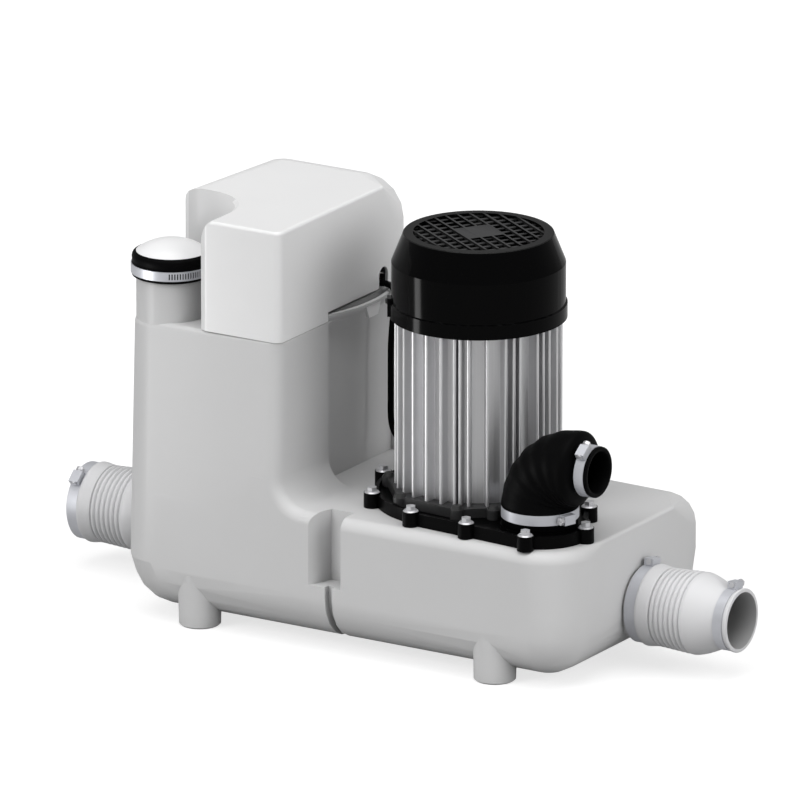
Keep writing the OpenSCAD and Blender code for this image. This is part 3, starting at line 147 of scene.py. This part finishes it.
# The tank is one moulded shell of white plastic, with a low end for the pump and a tower for the
# controls. Its surface has a fine grain and it is duller than the hood. Its hollows are painted
# darker by ambient occlusion, as painted shade.
TONE_DRIFT = 0.03
MERGE_DISTANCE = 0.000004
FLAT_ANGLE = math.radians(0.6)


def ranged(tree, source, first, last, start=0.0, end=1.0):
    """A socket that follows the source: first where it is start, last where it is end."""
    spread = tree.nodes.new("ShaderNodeMapRange")
    spread.inputs["From Min"].default_value = start
    spread.inputs["From Max"].default_value = end
    spread.inputs["To Min"].default_value = first
    spread.inputs["To Max"].default_value = last
    tree.links.new(source, spread.inputs["Value"])
    return spread.outputs[0]


def moulded(name, colour, roughness, grain=900.0, depth=0.00003, gloss=0.4):
    """Moulded plastic or rubber: a faint drift in tone and a fine grain in the surface."""
    finish = bpy.data.materials.new(name)
    finish.use_nodes = True
    tree = finish.node_tree
    shader = tree.nodes["Principled BSDF"]
    place = tree.nodes.new("ShaderNodeTexCoord")
    cloud = tree.nodes.new("ShaderNodeTexNoise")
    cloud.inputs["Scale"].default_value = 9.0
    cloud.inputs["Detail"].default_value = 3.0
    mix = tree.nodes.new("ShaderNodeVectorMath")
    mix.operation = "SCALE"
    mix.inputs[0].default_value = colour
    fine = tree.nodes.new("ShaderNodeTexNoise")
    fine.inputs["Scale"].default_value = grain
    fine.inputs["Detail"].default_value = 2.0
    bump = tree.nodes.new("ShaderNodeBump")
    bump.inputs["Strength"].default_value = 0.5
    bump.inputs["Distance"].default_value = depth
    tone = ranged(tree, cloud.outputs["Fac"], 1 - TONE_DRIFT, 1 + TONE_DRIFT)
    rough = ranged(tree, cloud.outputs["Fac"], roughness * 0.92, roughness * 1.08)
    for source, target in (
        (place.outputs["Object"], cloud.inputs["Vector"]),
        (place.outputs["Object"], fine.inputs["Vector"]),
        (tone, mix.inputs["Scale"]),
        (mix.outputs[0], shader.inputs["Base Color"]),
        (rough, shader.inputs["Roughness"]),
        (fine.outputs["Fac"], bump.inputs["Height"]),
        (bump.outputs[0], shader.inputs["Normal"]),
    ):
        tree.links.new(source, target)
    shader.inputs["Specular IOR Level"].default_value = gloss
    return finish


def toned(finish, factor):
    """Scales the finish's colour by what a socket gives."""
    tree = finish.node_tree
    colour = tree.nodes["Principled BSDF"].inputs["Base Color"]
    scaled = tree.nodes.new("ShaderNodeVectorMath")
    scaled.operation = "SCALE"
    tree.links.new(colour.links[0].from_socket, scaled.inputs[0])
    tree.links.new(factor, scaled.inputs["Scale"])
    tree.links.new(scaled.outputs[0], colour)


def shaded_evenly(piece, angle, keep_sharp_edges=True):
    """Shades edges under the angle, in degrees, smooth, and lets the large faces look flat."""
    bpy.ops.object.shade_smooth_by_angle(
        angle=math.radians(angle), keep_sharp_edges=keep_sharp_edges
    )
    even = piece.modifiers.new("even", "WEIGHTED_NORMAL")
    even.weight = 100
    even.keep_sharp = True
    bpy.ops.object.modifier_apply(modifier="even")


def finished_copy(node, name, body, finish, soften=0.0, angle=35, edge_painted_light=None):
    """A merged copy of a solid: sharp edges broken by soften in metres, curves shaded smooth."""
    piece = bpy.data.objects.new(name, nodes[node].data.copy())
    bpy.context.collection.objects.link(piece)
    bpy.ops.object.select_all(action="DESELECT")
    piece.select_set(True)
    bpy.context.view_layer.objects.active = piece
    bpy.ops.object.mode_set(mode="EDIT")
    bpy.ops.mesh.select_all(action="SELECT")
    bpy.ops.mesh.remove_doubles(threshold=MERGE_DISTANCE)
    bpy.ops.mesh.dissolve_limited(angle_limit=FLAT_ANGLE)
    bpy.ops.object.mode_set(mode="OBJECT")
    piece.data.materials.clear()
    piece.data.materials.append(finish)
    # A second finish, when given, paints a highlight on the bevelled edges.
    if edge_painted_light:
        piece.data.materials.append(edge_painted_light)
    if soften:
        edge = piece.modifiers.new("edge", "BEVEL")
        edge.width = soften
        edge.segments = 2
        edge.limit_method = "ANGLE"
        edge.angle_limit = math.radians(angle)
        edge.material = 1 if edge_painted_light else -1
        bpy.ops.object.modifier_apply(modifier="edge")
    shaded_evenly(piece, angle)
    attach(piece, body)
    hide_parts(node)
    return piece


tank_plastic = moulded(
    "tank_plastic", (0.62, 0.62, 0.622), 0.42, grain=650.0, depth=0.00005, gloss=0.3
)
# Ambient occlusion darkens the tank's colour in its hollows and creases: painted shade.
hollow_shade_occlusion = tank_plastic.node_tree.nodes.new("ShaderNodeAmbientOcclusion")
hollow_shade_occlusion.inputs["Distance"].default_value = 0.04
hollow_shade_occlusion.samples = 8
hollow_shade_factor = ranged(
    tank_plastic.node_tree, hollow_shade_occlusion.outputs["AO"], first=0.6, last=1.0, start=0.15, end=0.55
)
toned(tank_plastic, hollow_shade_factor)
tank = finished_copy("tank", "tank_shell", "station", tank_plastic, 0.0004, angle=24)

# Where the tank's low end meets the front of its tower, the low end's top rounding stands a little
# proud of the drafted wall. This copy's rounding is drawn in to the wall there, and from the left
# the draw fades in.
WALL_POINT = (-0.15467, -0.13141, 0.12871)
WALL_ALONG_X, WALL_UP_Z = -0.0168, 0.02
TOWER_END_X, PROUD_Y = -0.154, -0.128
ROUNDING_FROM_Z, ROUNDING_TO_Z = 0.1249, 0.1299
DRAWN_IN, FADE_FROM_X, FADE_LENGTH = 0.85, -0.2099, 0.0124
for corner in tank.data.vertices:
    x, y, z = corner.co
    wall_y = WALL_POINT[1] + WALL_ALONG_X * (x - WALL_POINT[0]) + WALL_UP_Z * (z - WALL_POINT[2])
    if x < TOWER_END_X and y < min(wall_y, PROUD_Y) and ROUNDING_FROM_Z < z < ROUNDING_TO_Z:
        fade = max(0, min(1, (x - FADE_FROM_X) / FADE_LENGTH))
        corner.co.y += DRAWN_IN * (wall_y - y) * fade
shaded_evenly(tank, 38, keep_sharp_edges=False)

# The catch is moulded on the wall of the tank's bay, under the curved lip. Its face is given a
# paler plastic than the wall behind it, as a painted highlight.
CATCH_LOW, CATCH_HIGH = (-0.0525, 0.0, 0.278), (-0.0505, 0.045, 0.2968)
catch_highlight_plastic = moulded("catch_highlight_plastic", (0.97, 0.97, 0.972), 0.35, grain=650.0, gloss=0.4)
# The catch's paler plastic is a painted highlight.
tank.data.materials.append(catch_highlight_plastic)
for face in tank.data.polygons:
    if all(low < here < high for low, here, high in zip(CATCH_LOW, face.center, CATCH_HIGH)):
        face.material_index = 1

# The pump flange is a moulded plate of black plastic that lies on the tank's low end, over a
# gasket. It carries the motor and the discharge elbow, and steel screws with washers hold it.
flange_plastic = moulded(
    "flange_plastic", (0.0013, 0.0013, 0.0014), 0.35, grain=1800.0, depth=0.00005, gloss=0.05
)
finished_copy("pump_flange", "flange_plate", "station", flange_plastic, 0.0005)


def metal(name, colour, roughness, stretch=(400.0, 400.0, 6.0), shine=1.0):
    """Metal with fine lines in its surface, drawn out along the axis of the least stretch."""
    finish = bpy.data.materials.new(name)
    finish.use_nodes = True
    tree = finish.node_tree
    shader = tree.nodes["Principled BSDF"]
    place = tree.nodes.new("ShaderNodeTexCoord")
    draw = tree.nodes.new("ShaderNodeMapping")
    draw.inputs["Scale"].default_value = stretch
    lines = tree.nodes.new("ShaderNodeTexNoise")
    lines.inputs["Scale"].default_value = 1.0
    lines.inputs["Detail"].default_value = 4.0
    mix = tree.nodes.new("ShaderNodeVectorMath")
    mix.operation = "SCALE"
    mix.inputs[0].default_value = colour
    bump = tree.nodes.new("ShaderNodeBump")
    bump.inputs["Strength"].default_value = 0.3
    bump.inputs["Distance"].default_value = 0.00003
    tone = ranged(tree, lines.outputs["Fac"], 0.88, 1.06)
    rough = ranged(tree, lines.outputs["Fac"], roughness * 0.8, roughness * 1.2)
    for source, target in (
        (place.outputs["Object"], draw.inputs["Vector"]),
        (draw.outputs[0], lines.inputs["Vector"]),
        (lines.outputs["Fac"], bump.inputs["Height"]),
        (tone, mix.inputs["Scale"]),
        (mix.outputs[0], shader.inputs["Base Color"]),
        (rough, shader.inputs["Roughness"]),
        (bump.outputs[0], shader.inputs["Normal"]),
    ):
        tree.links.new(source, target)
    shader.inputs["Metallic"].default_value = shine
    return finish


screw_steel = metal("screw_steel", (0.68, 0.68, 0.70), 0.3, (300.0, 300.0, 300.0), 0.6)
finished_copy("flange_screws", "flange_bolts", "station", screw_steel, 0.0002)

# The lower bearing shield is a dark grey casting with eight sides, between the flange and the
# motor housing. Its screws are dark steel.
cast_grey = metal("cast_grey", (0.036, 0.036, 0.037), 0.45, (500.0, 500.0, 500.0), 0.3)
dark_steel = metal("dark_steel", (0.05, 0.05, 0.05), 0.4, (300.0, 300.0, 300.0), 0.6)
finished_copy("lower_shield", "lower_end_shield", "station", cast_grey, 0.0006)
finished_copy("shield_screws", "shield_bolts", "station", dark_steel, 0.0002)

# The motor housing is aluminium with fins all round and fine lines along its axis. The bevelled
# edges of the fins get a paler metal than the metal between them, as a painted highlight.
housing_aluminium = metal(
    "housing_aluminium", (0.74, 0.74, 0.75), 0.38, (500.0, 500.0, 4.0), 0.85
)
# The paler metal on the fins' bevelled edges is a painted highlight.
fin_highlight_metal = metal("fin_highlight_metal", (0.93, 0.93, 0.94), 0.35, (500.0, 500.0, 4.0), 0.6)
finished_copy(
    "motor_housing", "finned_housing", "station", housing_aluminium, 0.0008, angle=30,
    edge_painted_light=fin_highlight_metal,
)

# The fan cover is a deep cap under a black gloss, screwed on over the fan. In its top, the
# up-facing faces of the grid's bars and of the plate in their middle are painted paler than the
# ring round them, as painted light from above.
PUMP_AXIS = (0.0865, -0.011, 0)
GRID_RADIUS, GRID_BLUR, GRID_DEPTH = 0.0578, 0.0004, 0.006
RING_TONE = 0.12
gloss_black = moulded(
    "gloss_black", (0.0016, 0.0016, 0.0017), 0.12, grain=500.0, depth=0.00001, gloss=0.05
)
cowl = finished_copy("fan_cover", "fan_cowl", "station", gloss_black, 0.0008, angle=15)
# The grid's paler black is painted light on its up-facing faces.
grid_light_painted = moulded("grid_light_painted", (0.036, 0.036, 0.037), 0.4, grain=600.0, gloss=0.2)
tree = grid_light_painted.node_tree
place = tree.nodes.new("ShaderNodeTexCoord")
flat = tree.nodes.new("ShaderNodeVectorMath")
flat.operation = "MULTIPLY"
flat.inputs[1].default_value = (1, 1, 0)
from_axis = tree.nodes.new("ShaderNodeVectorMath")
from_axis.operation = "DISTANCE"
from_axis.inputs[1].default_value = PUMP_AXIS
tree.links.new(place.outputs["Object"], flat.inputs[0])
tree.links.new(flat.outputs[0], from_axis.inputs[0])
grid_light_mask = ranged(
    tree, from_axis.outputs["Value"], 1.0, RING_TONE, GRID_RADIUS - GRID_BLUR, GRID_RADIUS
)
toned(grid_light_painted, grid_light_mask)
cowl.data.materials.append(grid_light_painted)
cowl_top = max(corner.co.z for corner in cowl.data.vertices)
# Up-facing faces in the top of the cover get the paler finish, as painted light.
for face in cowl.data.polygons:
    if face.normal.z > 0.5 and face.center.z > cowl_top - GRID_DEPTH:
        face.material_index = 1
finished_copy("cover_screws", "cowl_screws", "station", dark_steel, 0.0001)

# The discharge elbow is thick black rubber, clamped over the flange's stub. Its bend has shallow
# pleats that fan out from the inner corner, and it narrows to a neck for the discharge hose.
MM = 0.001
OUTLET_X, OUTLET_Y = 192.888, -73.9175
FOOT_Z, STUB_TOP_Z, SEAT_TOP_Z = 149.9, 163.0, 166.2
BEND_Z, BEND_RADIUS, BEND_STEPS = 167.5, 41.3, 30
ELBOW_RADIUS, RUBBER = 36.0, 4.0
STUB_BORE = ELBOW_RADIUS - RUBBER
BEND_BORE = STUB_BORE - 1.5
EDGE_ROUND, SHOULDER = 0.5, 0.6
SWELL, SWELL_FADE = 0.9, 12
PLEATS, PLEAT_DEPTH = 6, 1.6
NECK_X, MOUTH_X = 240.688, 257.188
NECK_RADIUS, HOSE_BORE, MOUTH_BEAD = 23.9, 20.0, 0.4
black_rubber = moulded(
    "black_rubber", (0.0026, 0.0026, 0.0028), 0.48, grain=1500.0, depth=0.00004, gloss=0.03
)
corner_x = OUTLET_X + BEND_RADIUS
mouth_z = BEND_Z + BEND_RADIUS
bpy.ops.mesh.primitive_circle_add(
    vertices=80,
    radius=(ELBOW_RADIUS - EDGE_ROUND) * MM,
    location=(OUTLET_X * MM, OUTLET_Y * MM, FOOT_Z * MM),
)
elbow = bpy.context.object
elbow.name = "elbow_rubber"
bpy.ops.object.transform_apply(location=True, rotation=True, scale=True)
bpy.ops.object.mode_set(mode="EDIT")
bpy.ops.mesh.select_all(action="SELECT")
elbow_ring = {"centre": (OUTLET_X, FOOT_Z), "radius": ELBOW_RADIUS - EDGE_ROUND, "tilt": 0.0}


def next_elbow_ring(x, z, radius, tilt):
    """Extrudes the open end to a ring of that centre, radius and tilt in degrees."""
    was = elbow_ring["centre"]
    bpy.ops.mesh.extrude_region_move(
        TRANSFORM_OT_translate={"value": ((x - was[0]) * MM, 0, (z - was[1]) * MM)}
    )
    here = (x * MM, OUTLET_Y * MM, z * MM)
    turn = math.radians(tilt - elbow_ring["tilt"])
    if abs(turn) > 1e-6:
        bpy.ops.transform.rotate(value=-turn, orient_axis="Y", center_override=here)
    growth = radius / elbow_ring["radius"]
    bpy.ops.transform.resize(value=(growth, growth, growth), center_override=here)
    elbow_ring.update(centre=(x, z), radius=radius, tilt=tilt)


def bend_ring(angle, radius):
    """The next ring round the bend, at an angle in degrees from its start."""
    across, up = math.cos(math.radians(angle)), math.sin(math.radians(angle))
    next_elbow_ring(corner_x - BEND_RADIUS * across, BEND_Z + BEND_RADIUS * up, radius, angle)


def pleat(angle):
    """Depth of the pleats at an angle round the bend: folds that are deepest in its middle."""
    fold = (math.cos(math.radians(angle * PLEATS * 4)) - 1) / 2
    return PLEAT_DEPTH * fold * math.sin(math.radians(2 * angle))


def close_skin():
    """Merges the ends of the skin in edit mode, turns its faces outwards and leaves edit mode."""
    bpy.ops.mesh.select_all(action="SELECT")
    bpy.ops.mesh.remove_doubles(threshold=0.00002)
    bpy.ops.mesh.normals_make_consistent(inside=False)
    bpy.ops.object.mode_set(mode="OBJECT")


next_elbow_ring(OUTLET_X, FOOT_Z + EDGE_ROUND, ELBOW_RADIUS, 0)
next_elbow_ring(OUTLET_X, SEAT_TOP_Z, ELBOW_RADIUS, 0)
next_elbow_ring(OUTLET_X, SEAT_TOP_Z + 0.7, ELBOW_RADIUS + SHOULDER, 0)
for step in range(BEND_STEPS + 1):
    angle = 90 * step / BEND_STEPS
    bend_ring(angle, ELBOW_RADIUS + SWELL * math.exp(-angle / SWELL_FADE) + pleat(angle))
for angle in range(10, 90, 10):
    across, up = math.cos(math.radians(angle)), math.sin(math.radians(angle))
    narrowed = NECK_RADIUS + (ELBOW_RADIUS - NECK_RADIUS) * across
    next_elbow_ring(corner_x + (NECK_X - corner_x) * up, mouth_z, narrowed, 90)
for x, radius in (
    (NECK_X + 0.8, NECK_RADIUS),
    (MOUTH_X - 1.9, NECK_RADIUS),
    (MOUTH_X - 1.5, NECK_RADIUS + MOUTH_BEAD),
    (MOUTH_X - 0.4, NECK_RADIUS + MOUTH_BEAD),
    (MOUTH_X, NECK_RADIUS),
    (MOUTH_X, HOSE_BORE + 0.6),
    (MOUTH_X - 0.6, HOSE_BORE),
    (NECK_X, HOSE_BORE),
    (NECK_X - 2.5, HOSE_BORE + 2),
    (corner_x + 0.1, BEND_BORE),
):
    next_elbow_ring(x, mouth_z, radius, 90)
for step in range(BEND_STEPS, -1, -3):
    bend_ring(90 * step / BEND_STEPS, BEND_BORE)
next_elbow_ring(OUTLET_X, STUB_TOP_Z, STUB_BORE, 0)
next_elbow_ring(OUTLET_X, FOOT_Z, STUB_BORE, 0)
next_elbow_ring(OUTLET_X, FOOT_Z, ELBOW_RADIUS - EDGE_ROUND, 0)
close_skin()
bpy.ops.object.shade_smooth_by_angle(angle=math.radians(50))
elbow.data.materials.append(black_rubber)
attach(elbow, "station")
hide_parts("discharge_elbow")

# The inlet sleeves are white rubber, moulded in one piece: a band seat at the wide end, a smooth
# belt, six ribs that let the sleeve flex, then a shoulder that narrows to the mouth's band seat.
# Their bore is painted darker than the outside, as painted shade.
INLET_Y, INLET_Z = 7.5, 59.0
RIBS, RIBS_START, RIB_PITCH = 6, 27, 5.6
FIRST_CREST, CREST_STEP = 37.9, 0.3
BORE_SHADE_REACH = 0.0341
white_rubber = moulded(
    "white_rubber", (0.67, 0.67, 0.68), 0.45, grain=1400.0, depth=0.00003, gloss=0.35
)
# The bore's darker rubber is painted shade.
bore_shade_painted = moulded(
    "bore_shade_painted", (0.36, 0.36, 0.362), 0.4, grain=1400.0, depth=0.00003, gloss=0.3
)


def turned_along_x(name, start, centre_y, centre_z, outline, sides=96):
    """A ring drawn out along X and resized at each step of the outline, (length, radius) in mm."""
    first = outline[0]
    bpy.ops.mesh.primitive_circle_add(
        vertices=sides,
        radius=first[1] * MM,
        location=((start + first[0]) * MM, centre_y * MM, centre_z * MM),
        rotation=(0, math.pi / 2, 0),
    )
    piece = bpy.context.object
    piece.name = name
    bpy.ops.object.transform_apply(location=True, rotation=True, scale=True)
    bpy.ops.object.mode_set(mode="EDIT")
    bpy.ops.mesh.select_all(action="SELECT")
    here = first
    for step in outline[1:]:
        bpy.ops.mesh.extrude_region_move(
            TRANSFORM_OT_translate={"value": ((step[0] - here[0]) * MM, 0, 0)}
        )
        growth = step[1] / here[1]
        bpy.ops.transform.resize(
            value=(1, growth, growth),
            center_override=((start + step[0]) * MM, centre_y * MM, centre_z * MM),
        )
        here = step
    close_skin()
    return piece


band_seat = [(0, 34.2), (0, 36.2), (0.4, 36.6), (12.3, 36.6)]
belt = [(12.6, 38.4), (13.2, 39.1), (14.2, 39.3), (17, 39.0), (20, 38.4), (23, 38.0)]
belt += [(25.5, 37.8), (26.6, 37.4)]
rib_steps = [(0.03, -2.6), (0.12, -2.2), (0.22, -0.9), (0.36, -0.15)]
rib_steps += [(0.53, 0.0), (0.7, -0.15), (0.84, -0.9), (0.94, -2.2)]
ribs = [
    (RIBS_START + RIB_PITCH * (rib + along), FIRST_CREST + CREST_STEP * rib + rise)
    for rib in range(RIBS)
    for along, rise in rib_steps
]
shoulder = [(61.0, 37.9), (61.8, 38.9), (63.0, 39.5), (65.0, 39.6), (68.0, 39.1), (72.0, 38.0)]
shoulder += [(76.0, 36.6), (80.0, 35.0), (84.0, 33.2), (87.0, 31.8), (89.5, 30.6), (91.2, 29.6)]
mouth_seat = [(92.2, 29.2), (104.9, 29.2)]
mouth_lip = [(105.4, 30.2), (106.0, 30.8), (107.2, 30.8), (107.8, 30.4), (108.0, 29.8)]
bore = [(108.0, 27.3), (107.6, 27.0), (86.0, 27.0), (64.6, 34.0), (0.4, 34.0), (0, 34.2)]
sleeve_outline = band_seat + belt + ribs + shoulder + mouth_seat + mouth_lip + bore
for node, name, start in (
    ("right_sleeve", "right_inlet_sleeve", 257.5),
    ("left_sleeve", "left_inlet_sleeve", -365.5),
):
    sleeve = turned_along_x(name, start, INLET_Y, INLET_Z, sleeve_outline)
    bpy.ops.object.shade_smooth_by_angle(angle=math.radians(50))
    sleeve.data.materials.append(white_rubber)
    sleeve.data.materials.append(bore_shade_painted)
    # The inward faces of the bore get the darker finish: painted shade.
    for face in sleeve.data.polygons:
        out_y, out_z = face.center.y - INLET_Y * MM, face.center.z - INLET_Z * MM
        inwards = face.normal.y * out_y + face.normal.z * out_z < 0
        if inwards and math.hypot(out_y, out_z) < BORE_SHADE_REACH:
            face.material_index = 1
    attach(sleeve, "station")
    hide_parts(node)

# The vent's sleeve is a ring of black rubber round the tank's vent pipe, with a shallow bead above
# its band seat and a rounded lip round the cap.
VENT_X, VENT_Y, VENT_TOP = -204.5, -92.0, 359.5
VENT_SLEEVE_LENGTH = 23.5
vent_seat = [(0, 34.0), (0, 37.0), (0.3, 37.6), (0.9, 37.9), (13.4, 37.9)]
vent_bead = [(14.2, 37.5), (15.0, 37.4), (15.8, 37.8), (18.4, 37.9)]
vent_lip = [(20.0, 37.6), (21.4, 37.0), (22.4, 36.1), (23.1, 35.0), (23.4, 34.2)]
vent_bore = [(23.3, 34.0), (12.0, 34.0), (0, 34.0)]
vent_outline = vent_seat + vent_bead + vent_lip + vent_bore
vent_ring = turned_along_x("vent_rubber", 0, 0, 0, vent_outline)
bpy.ops.transform.rotate(value=math.pi / 2, orient_axis="Y", center_override=(0, 0, 0))
bpy.ops.transform.translate(value=(VENT_X * MM, VENT_Y * MM, (VENT_TOP - VENT_SLEEVE_LENGTH) * MM))
bpy.ops.object.transform_apply(location=True, rotation=True, scale=True)
bpy.ops.object.shade_smooth_by_angle(angle=math.radians(50))
vent_ring.data.materials.append(black_rubber)
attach(vent_ring, "station")
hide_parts("vent_sleeve")

# The vent cap is a dome of white plastic, moulded in one piece and pushed into the vent's rubber
# sleeve.
cap_plastic = moulded("cap_plastic", (0.86, 0.86, 0.865), 0.28, gloss=0.5)
finished_copy("vent_cap", "vent_dome", "station", cap_plastic, angle=40)

# The clamps are thin bands of steel round the seats of the sleeves and the elbow. A steel worm
# screw in each band's housing draws it tight.
band_steel = metal("band_steel", (0.62, 0.63, 0.67), 0.4, (60.0, 60.0, 60.0), 0.45)
for node in (
    "vent_clamp", "right_wide_clamp", "right_mouth_clamp", "left_wide_clamp",
    "left_stub_clamp", "elbow_base_clamp", "elbow_mouth_clamp",
):
    finished_copy(node, node + "_band", "station", band_steel, 0.0001)
finished_copy("clamp_screws", "worm_screws", "station", screw_steel, 0.0001)

# The motor's lead is a black rubber flex. It comes out of the hood's notch, runs down the bay
# beside the motor, and turns in to the motor's gland.
LEAD_RADIUS = 3.0
lead_route = [
    (-84, 60, 309), (-72, 60, 310), (-61, 60, 310), (-53.5, 59.5, 308.5), (-48.8, 57.5, 304),
    (-46.8, 54.5, 295), (-46.5, 50.5, 278), (-47, 48.3, 255), (-47.3, 48.3, 230),
    (-47.3, 48.3, 205), (-47.3, 48.3, 186), (-45, 47.3, 174), (-38.5, 44.5, 166.5),
    (-29, 40.5, 164.5), (-17, 35.2, 166), (-5, 29.9, 167), (8.39, 30.53, 167),
]


def along_route(before, start, end, after, t):
    """A point of the smooth curve from start to end, t of the way along."""
    return [
        (
            2 * s + (e - b) * t
            + (2 * b - 5 * s + 4 * e - a) * t * t
            + (3 * s - b - 3 * e + a) * t ** 3
        ) / 2
        for b, s, e, a in zip(before, start, end, after)
    ]


lead_line = []
last = len(lead_route) - 1
for i in range(last):
    four = [lead_route[min(max(i + k, 0), last)] for k in (-1, 0, 1, 2)]
    lead_line += [along_route(*four, t) for t in (0, 0.2, 0.4, 0.6, 0.8)]
lead_line.append(lead_route[-1])
bpy.ops.curve.primitive_nurbs_path_add()
lead = bpy.context.object
lead.name = "motor_flex"
lead.data.splines.clear()
flex = lead.data.splines.new("POLY")
flex.points.add(len(lead_line) - 1)
for point, place in zip(flex.points, lead_line):
    point.co = (place[0] * MM, place[1] * MM, place[2] * MM, 1)
lead.data.dimensions = "3D"
lead.data.bevel_depth = LEAD_RADIUS * MM
lead.data.bevel_resolution = 6
lead.data.use_fill_caps = True
lead.data.materials.append(black_rubber)
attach(lead, "station")
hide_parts("motor_lead")

# Of the pieces inside and behind, little or nothing shows: the motor's working parts, the pump's
# wet end, the controls, the glands and the gasket. Each solid stays and has the finish of what it
# is made of.
for finish, names in (
    (
        moulded("inner_black", (0.02, 0.02, 0.021), 0.45),
        "fan impeller volute control_tray mains_gland lead_gland",
    ),
    (
        moulded("inner_grey", (0.45, 0.45, 0.46), 0.4),
        "air_bell switch_plunger capacitor terminal_block",
    ),
    (moulded("inner_white", (0.7, 0.7, 0.7), 0.4), "seal_seat"),
    (moulded("board_green", (0.03, 0.2, 0.08), 0.4), "circuit_board"),
    (moulded("switch_blue", (0.03, 0.04, 0.09), 0.4), "microswitch"),
    (metal("coil_copper", (0.6, 0.25, 0.1), 0.35), "stator_windings"),
    (metal("core_steel", (0.35, 0.35, 0.37), 0.4), "rotor_core stator_core seal_ring"),
    (screw_steel, "shaft lower_bearing upper_bearing impeller_nut flap_pin switch_lever"),
    (housing_aluminium, "upper_shield"),
    (black_rubber, "flange_gasket check_flap membrane"),
):
    for node in names.split():
        mesh = nodes[node].data
        mesh.materials.clear()
        mesh.materials.append(finish)

# The hood is a thin moulding of glossy white plastic, set down over the controls and lifted off by
# hand. Its bevelled edges get a paler plastic as a painted highlight, and the pocket round the
# vent a duller one as painted shade. Its foot is let down a little, which closes the seam to the
# tank.
POCKET_REACH, POCKET_FACING = 0.075, 0.8
FOOT_BAND, FOOT_DROP = 0.002, 0.00035
hood_plastic = moulded(
    "hood_plastic", (0.83, 0.83, 0.832), 0.3, grain=800.0, depth=0.00002, gloss=0.5
)
# The paler plastic on the hood's bevelled edges is a painted highlight.
hood_highlight_plastic = moulded(
    "hood_highlight_plastic", (0.97, 0.97, 0.972), 0.25, grain=800.0, depth=0.00002, gloss=0.9
)
# The duller plastic in the pocket round the vent is painted shade.
pocket_shade_painted = moulded(
    "pocket_shade_painted", (0.68, 0.68, 0.682), 0.35, grain=800.0, depth=0.00002, gloss=0.4
)
hood = finished_copy(
    "hood", "hood_shell", "hood", hood_plastic, 0.0015, angle=20, edge_painted_light=hood_highlight_plastic
)
hood.data.materials.append(pocket_shade_painted)
hood_foot = min(corner.co.z for corner in hood.data.vertices)
for corner in hood.data.vertices:
    if corner.co.z < hood_foot + FOOT_BAND:
        corner.co.z -= FOOT_DROP
# Faces of the pocket round the vent get the duller finish, as painted shade.
for face in hood.data.polygons:
    to_vent = (VENT_X * MM - face.center.x, VENT_Y * MM - face.center.y)
    distance = math.hypot(*to_vent)
    facing = face.normal.x * to_vent[0] + face.normal.y * to_vent[1]
    if face.material_index == 0 and distance < POCKET_REACH and facing > POCKET_FACING * distance:
        face.material_index = 2
